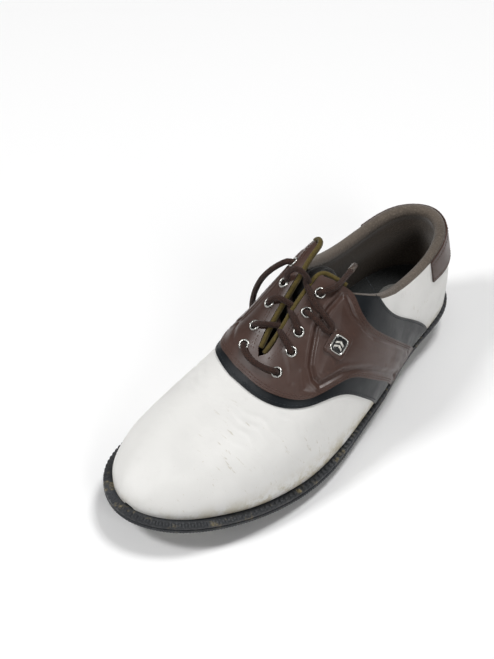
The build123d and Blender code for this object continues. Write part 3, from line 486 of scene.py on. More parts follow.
# ---------------------------------------------------------------- finishes
class Finish:
    """One procedural material, built up from a few kinds of node."""

    def __init__(self, name, colour, roughness, coat=0.0, sheen=0.0, metallic=0.0, specular=0.5):
        self.material = bpy.data.materials.new(name)
        self.material.use_nodes = True
        self.nodes = self.material.node_tree.nodes
        self.links = self.material.node_tree.links
        self.shader = self.nodes["Principled BSDF"]
        self.place = self.nodes.new("ShaderNodeTexCoord").outputs["Object"]
        self.shader.inputs["Base Color"].default_value = (*colour, 1)
        self.shader.inputs["Roughness"].default_value = roughness
        self.shader.inputs["Metallic"].default_value = metallic
        self.shader.inputs["Specular IOR Level"].default_value = specular
        self.shader.inputs["Coat Weight"].default_value = coat
        self.shader.inputs["Coat Roughness"].default_value = 0.25
        self.shader.inputs["Sheen Weight"].default_value = sheen
        self.shader.inputs["Sheen Roughness"].default_value = 0.5
        self.colour = None
        self.height = None

    def noise(self, scale, detail=3.0, stretch=(1, 1, 1), rough=0.55):
        """Noise value with features of about 1/scale metres."""
        mapping = self.nodes.new("ShaderNodeMapping")
        mapping.inputs["Scale"].default_value = stretch
        self.links.new(self.place, mapping.inputs["Vector"])
        node = self.nodes.new("ShaderNodeTexNoise")
        node.inputs["Scale"].default_value = scale
        node.inputs["Detail"].default_value = detail
        node.inputs["Roughness"].default_value = rough
        self.links.new(mapping.outputs[0], node.inputs["Vector"])
        return node.outputs["Fac"]

    def cells(self, scale):
        """Distance to the nearest cell centre, for pebbled grain."""
        node = self.nodes.new("ShaderNodeTexVoronoi")
        node.inputs["Scale"].default_value = scale
        self.links.new(self.place, node.inputs["Vector"])
        return node.outputs["Distance"]

    def along(self, axis):
        """One coordinate in metres."""
        node = self.nodes.new("ShaderNodeSeparateXYZ")
        self.links.new(self.place, node.inputs[0])
        return node.outputs[axis]

    def ramp(self, value, low, high, to_low=0.0, to_high=1.0):
        """Value taken from low..high to to_low..to_high, clamped."""
        node = self.nodes.new("ShaderNodeMapRange")
        node.interpolation_type = "SMOOTHSTEP"
        for key, number in zip((1, 2, 3, 4), (low, high, to_low, to_high)):
            node.inputs[key].default_value = number
        self.links.new(value, node.inputs[0])
        return node.outputs[0]

    def math(self, kind, a, b):
        """Arithmetic on two values, each a socket or a number."""
        node = self.nodes.new("ShaderNodeMath")
        node.operation = kind
        for slot, value in zip(node.inputs, (a, b)):
            if isinstance(value, (int, float)):
                slot.default_value = value
            else:
                self.links.new(value, slot)
        return node.outputs[0]

    def tint(self, factor, colour, kind="MIX"):
        """Lay another colour over the base by a factor."""
        node = self.nodes.new("ShaderNodeMix")
        node.data_type, node.blend_type = "RGBA", kind
        base = self.shader.inputs["Base Color"]
        if self.colour is None:
            node.inputs[6].default_value = base.default_value
        else:
            self.links.new(self.colour, node.inputs[6])
        node.inputs[7].default_value = (*colour, 1)
        self.links.new(factor, node.inputs[0])
        self.colour = node.outputs[2]
        self.links.new(self.colour, base)

    def bump(self, value, distance, strength=1.0):
        """Relief of that many metres from a value."""
        node = self.nodes.new("ShaderNodeBump")
        node.inputs["Distance"].default_value = distance
        node.inputs["Strength"].default_value = strength
        self.links.new(value, node.inputs["Height"])
        if self.height is not None:
            self.links.new(self.height, node.inputs["Normal"])
        self.height = node.outputs["Normal"]
        self.links.new(self.height, self.shader.inputs["Normal"])

    def rough(self, scale, low, high):
        """Roughness between two numbers by a noise."""
        value = self.ramp(self.noise(scale, 4), 0.3, 0.7, low, high)
        self.links.new(value, self.shader.inputs["Roughness"])

    def patches(self, colour, scale, detail, low, high, amount=1.0):
        """Another colour where a noise passes from low to high, up to an amount."""
        self.tint(self.ramp(self.noise(scale, detail), low, high, 0, amount), colour)

    def relief(self, scale, detail, distance, strength, stretch=(1, 1, 1)):
        """Relief of that many metres from a noise."""
        self.bump(self.noise(scale, detail, stretch), distance, strength)


def shade(colour, factor):
    return tuple(min(c * factor, 1.0) for c in colour[:3])


def leather(name, colour, roughness, grain=1500.0, depth=0.00004, mottle=0.82, coat=0.0, scuff=None,
            dirt=None, specular=0.4):
    """Leather: pebbled grain, soft mottling, uneven gloss, and where given light scuffs and dirt low down."""
    finish = Finish(name, colour, roughness, coat=coat, specular=specular)
    finish.patches(shade(colour, mottle), 22, 5, 0.42, 0.72)
    finish.patches(shade(colour, mottle), 150, 6, 0.55, 0.8, 0.5)
    if scuff:
        marks = finish.math("MULTIPLY", finish.ramp(finish.noise(70, 6, (1, 5, 1.5), 0.7), 0.60, 0.68),
                            finish.ramp(finish.noise(14, 2), 0.5, 0.62))
        finish.tint(finish.math("MULTIPLY", marks, 0.5), scuff)
    if dirt:
        low = finish.ramp(finish.along("Z"), 0.032, 0.017)
        patch = finish.ramp(finish.noise(75, 8, rough=0.75), 0.40, 0.58)
        finish.tint(finish.math("MULTIPLY", finish.math("MULTIPLY", low, patch), 0.6), dirt)
        specks = finish.math("MULTIPLY", finish.ramp(finish.noise(420, 4, rough=0.7), 0.66, 0.72), 0.55)
        finish.tint(finish.math("MULTIPLY", specks, finish.ramp(finish.noise(11, 2), 0.45, 0.7)), dirt)
    finish.bump(finish.cells(grain), depth, 0.7)
    finish.relief(2600, 2, depth * 0.5, 0.6)
    finish.relief(95, 4, 0.0004, 0.3)
    finish.rough(60, roughness - 0.09, roughness + 0.1)
    return finish.material


def cloth(name, colour, pitch=1100.0, depth=0.00025, sheen=0.3, roughness=0.9):
    """Knit or woven fabric: two crossed fine waves with fuzz."""
    finish = Finish(name, colour, roughness, sheen=sheen, specular=0.2)
    finish.patches(shade(colour, 0.7), 40, 6, 0.35, 0.75, 0.9)
    finish.patches(shade(colour, 1.55), 900, 3, 0.45, 0.75, 0.8)
    finish.bump(finish.cells(pitch), depth, 0.9)
    finish.relief(1900, 4, depth * 0.6, 0.7)
    return finish.material


def rubber(name, colour, roughness=0.6, dust=(0.20, 0.17, 0.10), amount=0.5):
    """Moulded rubber: fine texture, dull wear and dried dust in patches."""
    finish = Finish(name, colour, roughness, specular=0.4)
    finish.patches(shade(colour, 1.9), 30, 5, 0.4, 0.75)
    patch = finish.ramp(finish.noise(120, 7, rough=0.75), 0.54, 0.72)
    finish.tint(finish.math("MULTIPLY", patch, amount), dust)
    finish.relief(1500, 4, 0.00008, 0.7)
    finish.relief(160, 4, 0.0004, 0.4)
    finish.rough(80, roughness - 0.12, roughness + 0.15)
    return finish.material


def metal(name, colour, roughness=0.25):
    """Plated metal with faint tarnish and hairline wear."""
    finish = Finish(name, colour, roughness, metallic=1.0)
    finish.patches(shade(colour, 0.45), 420, 5, 0.5, 0.75, 0.7)
    finish.relief(1600, 3, 0.00003, 0.5, (1, 6, 1))
    finish.rough(300, roughness - 0.08, roughness + 0.15)
    return finish.material


def thread(name, colour):
    """Waxed thread with a fine twist."""
    finish = Finish(name, colour, 0.6, specular=0.35)
    finish.patches(shade(colour, 0.6), 1500, 3, 0.4, 0.7)
    finish.relief(3200, 2, 0.00008, 0.8, (1, 1, 3))
    return finish.material


def braid(name, colour):
    """Round woven lace: diagonal yarns along and round the cord."""
    finish = Finish(name, colour, 0.75, sheen=0.08, specular=0.2)
    finish.place = finish.nodes["Texture Coordinate"].outputs["UV"]
    split = finish.nodes.new("ShaderNodeSeparateXYZ")
    finish.links.new(finish.place, split.inputs[0])
    yarns = []
    for turn in (1, -1):
        phase = finish.math("ADD", finish.math("MULTIPLY", split.outputs[0], YARN_SLOPE),
                            finish.math("MULTIPLY", split.outputs[1], LACE_YARNS * 2 * math.pi * turn))
        yarns.append(finish.math("SINE", phase, 0.0))
    weave = finish.math("MAXIMUM", yarns[0], yarns[1])
    # Painted shade: the gaps between the yarns are darkened towards 0.35 of the lace colour.
    finish.tint(finish.ramp(weave, 0.5, -0.2), shade(colour, 0.35))
    finish.place = finish.nodes["Texture Coordinate"].outputs["Object"]
    finish.patches(shade(colour, 1.6), 500, 4, 0.45, 0.75, 0.7)
    finish.bump(weave, 0.00022, 0.9)
    finish.relief(2500, 3, 0.0001, 0.6)
    return finish.material


def srgb(red, green, blue):
    """Scene-linear colour from 0 to 255 display values."""
    value = np.array([red, green, blue]) / 255
    return tuple(np.where(value <= 0.04045, value / 12.92, ((value + 0.055) / 1.055) ** 2.4).tolist())


# ---------------------------------------------------------------- settings
def colour_property(name, description, default):
    return FloatVectorProperty(name=name, description=description, default=default, subtype="COLOR", size=3,
                               min=0.0, max=1.0)


class ShoeColours(bpy.types.PropertyGroup):
    """Colours of the shoe's materials."""

    white: colour_property("White leather", "Vamp and quarter", srgb(226, 225, 222))
    brown: colour_property("Brown leather", "Saddle, heel tab and badge patch", srgb(70, 50, 43))
    black: colour_property("Black leather", "Trim bands round the saddle", srgb(20, 24, 28))
    olive: colour_property("Binding", "Tape round the throat edges", srgb(82, 70, 30))
    knit: colour_property("Collar knit", "Padded collar and lining", srgb(92, 83, 74))
    insole: colour_property("Footbed", "Footbed top cloth", srgb(50, 52, 52))
    lace: colour_property("Laces", "Round woven laces", srgb(56, 37, 30))
    sole: colour_property("Sole rubber", "Welt, outsole and cleats", srgb(44, 46, 49))
    dirt: colour_property("Dirt", "Dried dirt and grass dust", srgb(165, 150, 105))


class ShoeSizes(bpy.types.PropertyGroup):
    """Sizes of the shoe's details."""

    lace_radius: FloatProperty(name="Lace radius", description="Radius of the round laces", default=0.0019,
                               unit="LENGTH", min=0.001, max=0.003)
    bead_pitch: FloatProperty(name="Welt bead pitch", description="Spacing of the beads moulded on the welt",
                              default=0.0036, unit="LENGTH", min=0.002, max=0.008)
    bead_height: FloatProperty(name="Welt bead height", description="How far the beads stand above the welt",
                               default=0.0011, unit="LENGTH", min=0.0, max=0.002)
    stitch_pitch: FloatProperty(name="Stitch pitch", description="Spacing of the seam stitches",
                                default=0.0026, unit="LENGTH", min=0.001, max=0.006)
    crease_depth: FloatProperty(name="Crease depth", description="Depth of the flex creases over the toe box",
                                default=0.0004, unit="LENGTH", min=0.0, max=0.002)
    panel_height: FloatProperty(name="Panel relief", description="Rise of the saddle's padded side panel",
                                default=0.0021, unit="LENGTH", min=0.0, max=0.003)


def colours():
    return bpy.context.scene.shoe_colours


def sizes():
    return bpy.context.scene.shoe_sizes


MADE = {}


def material(kind, name, *rest, **more):
    """A finish made once and shared afterwards."""
    if name not in MADE:
        MADE[name] = kind(f"look_{name}", *rest, **more)
    return MADE[name]


def give(thing, finish):
    """Put one finish on a part of the frame."""
    thing.data.materials.clear()
    thing.data.materials.append(finish)


def white_leather():
    return material(leather, "white_leather", colours().white, 0.5, mottle=0.93, scuff=(0.42, 0.37, 0.27),
                    dirt=tuple(colours().dirt))


def brown_leather():
    return material(leather, "brown_leather", colours().brown, 0.4, grain=1700.0, depth=0.000025, mottle=0.66,
                    coat=0.05, specular=0.42, scuff=shade(colours().brown, 1.9))


def black_leather():
    return material(leather, "black_leather", colours().black, 0.36, mottle=0.7, specular=0.3,
                    scuff=shade(colours().black, 2.6))


def brown_thread():
    return material(thread, "brown_thread", shade(colours().brown, 1.5))


def dark_cloth():
    return material(cloth, "dark_lining_cloth", srgb(44, 42, 40), roughness=0.95)


# ---------------------------------------------------------------- pieces of the upper
def crease_relief(y, angle):
    """Shallow flex folds over the forepart, each a valley between low ridges, in millimetres."""
    depth = sizes().crease_depth * MM
    relief = np.zeros(y.shape)
    folds = [(-62, 2.05, 0.34, 9, 0.9), (-69, 1.85, 0.45, 5, 1.0), (-75, 2.2, 0.35, -4, 0.7),
             (-57, 1.25, 0.4, -6, 0.9), (-64, 1.1, 0.36, -9, 0.8), (-72, 1.35, 0.4, -3, 0.6),
             (-83, 1.75, 0.5, 4, 0.45), (-48, 2.35, 0.22, 14, 0.9), (-50, 0.85, 0.25, -12, 0.9),
             (-92, 1.3, 0.4, -5, 0.35), (-36, 2.62, 0.16, 20, 0.7)]
    for place, centre, reach, slant, strength in folds:
        off = (y - place) - slant * (angle - centre) + 1.2 * np.sin(angle * 17 + place)
        fade = np.exp(-(((angle - centre) / reach) ** 2))
        ridges = 0.5 * np.exp(-((np.abs(off) - 3.0) / 1.8) ** 2)
        relief += strength * depth * fade * (ridges - np.exp(-((off / 1.3) ** 2)))
    relief += 0.22 * np.sin(y / 11 + 2.2 * np.sin(angle * 3.1)) * np.sin(angle * 5.3 + y / 19)
    return relief


def make_vamp():
    """White forepart from the toe tip back under the front trim."""
    depth = np.linspace(0.012, 1, 150)[:, None] ** 1.7
    angle = math.pi * (np.linspace(0.004, 0.996, 200)[None, :])
    rear = trim_front(angle) + SEAM_LAP
    y = TOE_END + (rear - TOE_END) * depth
    base = over(y, angle)
    normal = over(y, angle, 1.0) - base
    flat = normals_of(base)
    flat *= np.sign((flat * normal).sum(-1).mean())
    near = smooth_step(y, TOE_END, TOE_END + 9)[..., None]
    normal = normal * near + flat * (1 - near)
    fade = smooth_step(rear - y, 4, 12) * smooth_step(y, TOE_END, TOE_END + 12)
    outer = base + normal * (crease_relief(y, angle) * fade)[..., None]
    shell("vamp_skin", [(outer, base - normal * LEATHER, None)], white_leather(), replaces=["vamp"])


def heel_rows(front_outer, front_inner, low, high, rows, columns):
    """Parameters (u, angle) of a fan round the heel between two heights over y."""
    u = np.linspace(float(side_u(front_inner, False)) - 1, float(side_u(front_outer, True)), columns)
    angles = np.linspace(0.0, 1.45, 300)
    sheet = girth(u[:, None], angles[None, :])
    bottom = np.array([np.interp(0, sheet[k, :, 2] - low(sheet[k, :, 1]), angles) for k in range(columns)])
    top = np.array([np.interp(0, sheet[k, :, 2] - high(sheet[k, :, 1]), angles) for k in range(columns)])
    share = np.linspace(0, 1, rows)[:, None]
    return np.broadcast_to(u, (rows, columns)), bottom * (1 - share) + top * share


def make_quarter():
    """White quarter round the heel, its front edges under the rear trims."""
    u, angle = heel_rows(28, 30, lambda y: feather_height(y) + 0.1, lambda y: topline(y) - 2.9, 90, 260)
    base = off_last(u, angle, 0.0)
    wave = 0.25 * np.sin(u * 60 + 3 * np.sin(angle * 6)) * np.sin(angle * 9 + u * 23)
    for place, slope, strength in ((0.12, 0.05, 0.5), (0.16, 0.03, 0.35), (-0.24, -0.05, 0.5),
                                   (-0.19, -0.02, 0.3)):
        crease = np.exp(-(((u - place - slope * angle) / 0.005) ** 2))
        wave = wave - strength * crease * smooth_step(angle, 0.3, 0.8)
    outer = off_last(u, angle, wave)
    inner = off_last(u, angle, -LEATHER)
    front = base[..., 1] > 14
    shell("quarter_skin", [(outer, inner, front[:-1, :-1])], white_leather(),
          replaces=["quarter", "heel_counter"])


def make_trims():
    """Black trim bands in front of and behind the saddle."""
    angle = math.pi * np.linspace(0.005, 0.995, 260)[None, :]
    share = np.linspace(0, 1, 22)[:, None]
    y = trim_front(angle) * (1 - share) + (saddle_front(angle) + 4) * share
    front = (over(y, angle, TRIM_TOP), over(y, angle, -0.2), None)
    shell("front_trim", [front], black_leather(), replaces=["saddle_underlay", "facing_backer"])
    for outer in (True, False):
        y, angle = half_band(lambda a: saddle_rear(a) - 5, trim_rear, outer, MOUTH_ANGLE[outer], 34, 110)
        band = (over(y, angle, TRIM_TOP), over(y, angle, -0.3), None)
        shell(f"rear_trim_{'outer' if outer else 'inner'}", [band], black_leather())


def saddle_relief(y, angle):
    """Padded side panel with a pressed outline, and the fold below the second eyelet, in millimetres."""
    height = sizes().panel_height * MM
    loop = PANEL + PANEL_BACK[:-1]
    edge = np.minimum(line_distance(y, angle, PANEL), line_distance(y, angle, PANEL_BACK))
    relief = np.where(inside(y, angle, loop), height * (1 - np.exp(-((edge / 5.5) ** 1.3))), 0.0)
    relief -= 1.0 * np.exp(-((edge / 1.5) ** 2))
    relief += 0.55 * np.exp(-(((edge - 2.6) / 1.3) ** 2))
    mirror = [(p[0] + 3, math.pi - p[1] + 0.05) for p in PANEL]
    other = line_distance(y, angle, mirror)
    relief += 0.5 * np.exp(-((other - 2.4) / 1.4) ** 2) - 0.7 * np.exp(-((other / 1.2) ** 2))
    fold = line_distance(y, angle, [(-24, 1.86), (-29, 1.98), (-34, 2.07)])
    relief += 0.6 * np.exp(-((fold / 2.0) ** 2))
    for crease, strength in (([(-12, 1.86), (-9, 2.02), (-3, 2.1)], 0.35),
                             ([(3, 1.82), (6, 1.95), (12, 1.99)], 0.35),
                             ([(-27, 2.1), (-33, 2.22), (-30, 2.34)], 0.4),
                             ([(2, 2.5), (12, 2.66), (30, 2.86)], 0.3),
                             ([(27, 2.2), (30, 2.4), (36, 2.55)], 0.35),
                             ([(-36, 1.3), (-26, 1.1), (-16, 1.0)], 0.4)):
        relief -= strength * np.exp(-((line_distance(y, angle, crease) / 1.6) ** 2))
    relief = relief + 0.2 * np.sin(y / 7.5 + 3 * np.sin(angle * 4)) * np.sin(angle * 11 + y / 13)
    return relief * smooth_step(np.minimum(y - saddle_front(angle), saddle_rear(angle) - y), 3.0, 7.0)


def make_saddle():
    """Brown saddle: two halves from the throat down to the feather, joined in front of the throat."""
    grids = []
    for outer in (True, False):
        y, angle = half_band(saddle_front, saddle_rear, outer, THROAT_ANGLE[outer], 120, 170)
        if not outer:
            y, angle = y[:, ::-1], angle[:, ::-1]
        relief = saddle_relief(y, angle)
        top = over(y, angle, SADDLE_TOP + relief)
        bottom = over(y, angle, TRIM_TOP)
        middle = (top[1:, 1:] + top[:-1, :-1]) / 2
        keep = np.ones(middle.shape[:2], bool)
        for x, place in EYELETS_OUTER if outer else EYELETS_INNER:
            centre = on_top(x, place, 2.3)
            keep &= np.linalg.norm(middle - centre, axis=-1) > 2.6
        grids.append((top, bottom, keep))
    shell("saddle_skin", grids, brown_leather(), replaces=["saddle"], edge=0.45)


def make_heel_tab():
    """Brown tab at the back of the heel."""
    u, angle = heel_rows(103, 103, lambda y: 57 + 0.09 * (145 - y), lambda y: topline(y) - 2.4, 50, 110)
    shell("heel_tab_skin", [(off_last(u, angle, 1.25), off_last(u, angle, 0.0), None)], brown_leather(),
          replaces=["heel_tab"])


def make_lining():
    """Cloth lining of the forepart, open under the throat."""
    y = np.concatenate([np.linspace(-138, -100, 16), np.linspace(-97, 46, 80)])[:, None]
    share = np.linspace(0, 1, 60)[None, :]
    pieces = []
    for outer in (True, False):
        places, angles = THROAT_ANGLE[outer]
        edge = np.interp(y, places, angles, left=angles[0])
        edge = edge + (0.05 if outer else -0.05) * smooth_step(y, -40, -30)
        mouth = np.interp(y, *MOUTH_ANGLE[outer]) + (0.06 if outer else -0.06)
        edge = np.where(y > 20, np.maximum(edge, mouth) if outer else np.minimum(edge, mouth), edge)
        angle = edge * (1 - share) + FOOT_ANGLE[outer] * share
        angle, rows = np.broadcast_arrays(angle if outer else angle[:, ::-1], y)
        pieces.append((over(rows, angle, -1.65), over(rows, angle, -2.3), None))
    shell("forepart_lining", pieces, dark_cloth(), replaces=["vamp_lining", "toe_puff"], edge=0)


def make_collar():
    """Padded knit collar rolling over the topline and down inside to the footbed, one stuffed piece."""
    count = 240
    u = np.linspace(float(side_u(31, False)) - 1, float(side_u(27, True)), count)
    angles = np.linspace(0.02, 1.5, 500)
    sheet = girth(u[:, None], angles[None, :])
    rise = sheet[..., 2] - topline(sheet[..., 1])
    rows = []

    def spot(drop, distance):
        angle = np.array([np.interp(-drop, rise[k], angles) for k in range(count)])
        return off_last(u, angle, distance)

    for drop, distance in ((9.0, -1.7), (6.0, -1.65), (4.2, -1.0)):
        rows.append(spot(drop, distance))
    for turn in np.linspace(15, 205, 19):
        turn = math.radians(turn)
        rows.append(spot(4.0 - 4.3 * math.sin(turn), -3.6 + 4.3 * math.cos(turn)))
    above = sheet[..., 2] - feather_height(sheet[..., 1]) - 5.5
    floor = np.array([np.interp(0, above[k], angles) for k in range(count)])
    rim = np.array([np.interp(-7.5, rise[k], angles) for k in range(count)])
    for share in np.linspace(0.05, 1, 26):
        angle = rim * (1 - share) + floor * share
        swell = 2.4 * math.sin(math.pi * min(share * 1.5, 1.0)) + 0.25 * np.sin(u * 90)
        rows.append(off_last(u, angle, -(6.3 - 2.2 * share + 0.6 * swell)))
    grid = np.stack(rows)
    smooth = grid.copy()
    for _ in range(3):
        smooth[1:-1] = (smooth[:-2] + 2 * smooth[1:-1] + smooth[2:]) / 4
    fine = np.stack([even(smooth[:, k], 84) for k in range(count)], 1)
    normal = normals_of(fine)
    away = (fine[20:40] - fine[20:40].mean((0, 1))) * [1, 1, 0]
    finish = material(cloth, "collar_knit", colours().knit, pitch=850.0, depth=0.0003)
    low = fine + normal * (0.8 if (normal[20:40] * away).sum() > 0 else -0.8)
    thing = shell("collar_pad", [(fine, low, None)], finish, edge=0,
                  replaces=["collar_roll", "quarter_lining", "collar_padding"])


def make_tongue():
    """Padded tongue lying under the laces."""
    y = np.linspace(-49, 35.5, 90)
    share = np.linspace(-1, 1, 60)[None, :]
    depth = by_y([(-50, -7.0), (-44, -9.0), (-36, -13.2), (-20, -14.0), (33, -14.0), (40, -14.0)])(y)
    half = by_y([(-50, 10.5), (-30, 13.5), (0, 15.0), (33, 12.0), (40, 11.0)])(y)
    half = half * np.sqrt(1 - np.clip((y - 25) / 10.7, 0, 0.985) ** 2)
    across = half[:, None] * share
    puff = (1 - share**4) ** 0.5 * smooth_step(y, -50, -40)[:, None]
    puff = puff * smooth_step(36 - y, 0, 4)[:, None]
    quilt = 0.3 * np.cos(share * 9.4) * puff
    level = ridge(y)[:, None] + depth[:, None] - 0.02 * across**2
    plan = [ridge_side(y)[:, None] + across, np.broadcast_to(y[:, None], across.shape)]
    top = np.stack(plan + [level + 0.9 + 1.5 * puff + quilt], -1)
    low = np.stack(plan + [level + 0.3 - 0.5 * puff], -1)
    finish = material(cloth, "tongue_cloth", srgb(38, 37, 36), pitch=1000.0)
    thing = shell("tongue_pad", [(top, low, None)], finish, body="tongue",
                  replaces=["tongue", "tongue_padding"], edge=0)


def make_bindings():
    """Olive tape folded over both throat edges."""
    finish = material(cloth, "olive_binding", colours().olive, pitch=1500.0, depth=0.0002, sheen=0.15,
                      roughness=0.7)
    around = round_turn(20)
    for name, corners in (("outer", BINDING_OUTER), ("inner", BINDING_INNER)):
        run = through(corners)(np.linspace(0, 1, 130))
        path = np.array([on_top(x, y, 0.9) for x, y in run])
        ups = np.array([on_top(x, y, 2.0) for x, y in run]) - path
        flat = np.sign(np.cos(around)) * np.abs(np.cos(around)) ** 0.8 * 1.5
        tall = np.sign(np.sin(around)) * np.abs(np.sin(around)) ** 0.8 * 2.0
        swept(f"binding_{name}_tape", path, ups, np.stack([flat, tall], -1), finish,
              replaces=[f"binding_{name}"])


def make_eyelets():
    """Rolled metal eyelets, each a turned ring with a short barrel."""
    finish = material(metal, "eyelet_metal", srgb(205, 205, 200), 0.28)
    profile = np.array([(2.3, -2.5), (2.25, -0.2), (2.35, 0.35), (2.6, 0.72), (2.95, 0.8), (3.35, 0.62),
                        (3.65, 0.2), (3.65, -0.05), (3.2, -0.15), (2.7, -0.3), (2.65, -2.5)])
    around = round_turn(40)
    for side, places in (("outer", EYELETS_OUTER), ("inner", EYELETS_INNER)):
        for number, (x, y) in enumerate(places, start=1):
            seat = on_top(x, y, SADDLE_TOP + 0.1)
            up = unit(on_top(x, y, 5.0) - on_top(x, y, 0.0))
            side_way = unit(np.cross(up, [0, 1, 0]))
            far_way = np.cross(up, side_way)
            turn = np.cos(around)[:, None] * side_way + np.sin(around)[:, None] * far_way
            points = seat + profile[None, :, :1] * turn[:, None] + profile[None, :, 1:] * up
            rows, columns = points.shape[:2]
            ring = grid_faces(rows + 1, columns, wrap=True) % (rows * columns)
            flat = points.reshape(-1, 3)
            make_mesh(f"eyelet_ring_{side}_{number}", flat, outward(flat, ring.tolist()), finish,
                      replaces=[f"eyelet_{side}_{number}"])


def make_badge():
    """Stitched leather patch with a rimmed enamel plate and a plain light chevron."""
    spot = np.array([BADGE_PLACE[0]]), np.array([BADGE_PLACE[1]])
    base = SADDLE_TOP + 0.1 + float(saddle_relief(*spot)[0])
    centre = over(*BADGE_PLACE, base)
    up = unit(over(*BADGE_PLACE, base + 1) - centre)
    x_way = np.array([9.0, 5.8, -8.2])
    x_way = unit(x_way - up * (x_way @ up))
    y_way = np.cross(up, x_way)

    def rounded(half_x, half_y, corner, count=72):
        """Outline of a rounded rectangle about the badge centre."""
        turn = round_turn(count)
        power = 2 / corner
        flat_x = np.sign(np.cos(turn)) * np.abs(np.cos(turn)) ** power * half_x
        flat_y = np.sign(np.sin(turn)) * np.abs(np.sin(turn)) ** power * half_y
        return flat_x, flat_y

    def dish(name, levels, finish, replaces=()):
        """Stack of outlines (half x, half y, corner, height), closed at both ends."""
        rings = []
        for half_x, half_y, corner, height in levels:
            flat_x, flat_y = rounded(half_x, half_y, corner)
            rings.append(centre + flat_x[:, None] * x_way + flat_y[:, None] * y_way + height * up)
        points = np.concatenate(rings + [centre[None] + up * levels[0][3], centre[None] + up * levels[-1][3]])
        count = len(rings[0])
        faces = grid_faces(len(rings), count, wrap=True).tolist()
        low, high = len(points) - 2, len(points) - 1
        faces += [[low, k, (k + 1) % count] for k in range(count)]
        base = (len(rings) - 1) * count
        faces += [[high, base + (k + 1) % count, base + k] for k in range(count)]
        make_mesh(name, points, outward(points, faces), finish, replaces=replaces)

    dish("badge_leather", [(7.2, 7.9, 7, -0.4), (7.3, 8.0, 7, 0.3), (7.1, 7.8, 7, 0.75),
                           (6.4, 7.1, 6, 0.95), (3.0, 3.0, 4, 1.0)], brown_leather(), ["badge_patch"])
    dish("badge_rim", [(5.0, 5.7, 4, 0.9), (5.05, 5.75, 4, 1.5), (4.8, 5.5, 4, 1.95), (4.35, 5.05, 4, 1.95),
                       (4.15, 4.85, 4, 1.5), (3.9, 4.6, 4, 1.45)],
         material(metal, "badge_metal", srgb(215, 215, 210), 0.2), ["badge_plate"])
    enamel = Finish("badge_enamel", srgb(12, 12, 13), 0.18, coat=0.8)
    enamel.patches(srgb(40, 40, 42), 700, 4, 0.5, 0.75, 0.5)
    enamel.relief(500, 3, 0.00003, 0.5)
    dish("badge_enamel_face",
         [(4.1, 4.8, 4, 1.4), (4.05, 4.75, 4, 1.62), (3.0, 3.6, 4, 1.72), (1.0, 1.0, 3, 1.75)],
         enamel.material)
    light = Finish("badge_light", srgb(205, 203, 195), 0.4)
    light.patches(srgb(120, 118, 110), 900, 4, 0.5, 0.75, 0.6)
    light.relief(1500, 3, 0.00003, 0.5)
    points, faces = [], []
    width, drop = 2.9, 1.6
    for level in (1.7, -0.9):
        for half in (-1, 1):
            first = len(points)
            for height in (1.6, 2.02):
                for across, along in ((0.0, 0.8), (width, 0.8 - drop), (width, -0.6 - drop), (0.0, -0.6)):
                    points.append(centre + half * across * x_way + (level + along) * y_way + height * up)
            block = [[0, 1, 2, 3], [7, 6, 5, 4], [0, 4, 5, 1], [1, 5, 6, 2], [2, 6, 7, 3], [3, 7, 4, 0]]
            block = [[first + v for v in f] for f in block]
            faces += outward(np.array(points), block)
    make_mesh("badge_chevron", points, faces, light.material, replaces=["badge_motif"])
    side = rounded(6.4, 7.1, 7, 96)
    run = centre + side[0][:, None] * x_way + side[1][:, None] * y_way + 1.0 * up
    run = np.concatenate([run, run[:1]])
    stitches("badge_stitches", [(run, np.broadcast_to(up, run.shape))],
             brown_thread(), pitch=1.9, length=1.5, radius=0.22)


def make_stitching():
    """Seam stitching: double rows on the saddle, single rows on the trims, two round the heel tab."""
    pitch = sizes().stitch_pitch * MM
    angles = np.linspace(0.06, math.pi - 0.06, 900)
    top = SADDLE_TOP + 0.12
    rows = [seam_run(saddle_front, angles, shift, top) for shift in (1.4, 2.9)]
    for low, high in ((0.06, 1.1), (2.0, math.pi - 0.06)):
        part = np.linspace(low, high, 400)
        rows += [seam_run(saddle_rear, part, shift, top) for shift in (-1.4, -2.9)]
    for curve, outer in ((throat_outer, True), (throat_inner, False)):
        y = np.linspace(-34, 13 if outer else 30, 200)
        for shift in (3.3, 5.0):
            spots = [(curve(v) + (shift if outer else -shift), v) for v in y]
            low = np.array([on_top(*s, top) for s in spots])
            rows.append((low, np.array([on_top(*s, top + 1) for s in spots]) - low))
    stitches("saddle_stitches", rows, brown_thread(), pitch=pitch)
    dark = material(thread, "black_thread", shade(colours().black, 2.2))
    rows = [seam_run(trim_front, angles, 2.0, TRIM_TOP + 0.1)]
    for low, high in ((0.06, 1.02), (2.08, math.pi - 0.06)):
        part = np.linspace(low, high, 400)
        rows.append(seam_run(trim_rear, part, -2.0, TRIM_TOP + 0.1))
    stitches("trim_stitches", rows, dark, pitch=pitch)
    u, angle = heel_rows(104, 104, lambda y: 59 + 0.09 * (145 - y), lambda y: topline(y) - 5.4, 3, 160)
    rows = []
    for row in (0, 2):
        low = off_last(u[row], angle[row], 1.35)
        rows.append((low, off_last(u[row], angle[row], 2.35) - low))
    stitches("heel_tab_stitches", rows, brown_thread(), pitch=pitch)


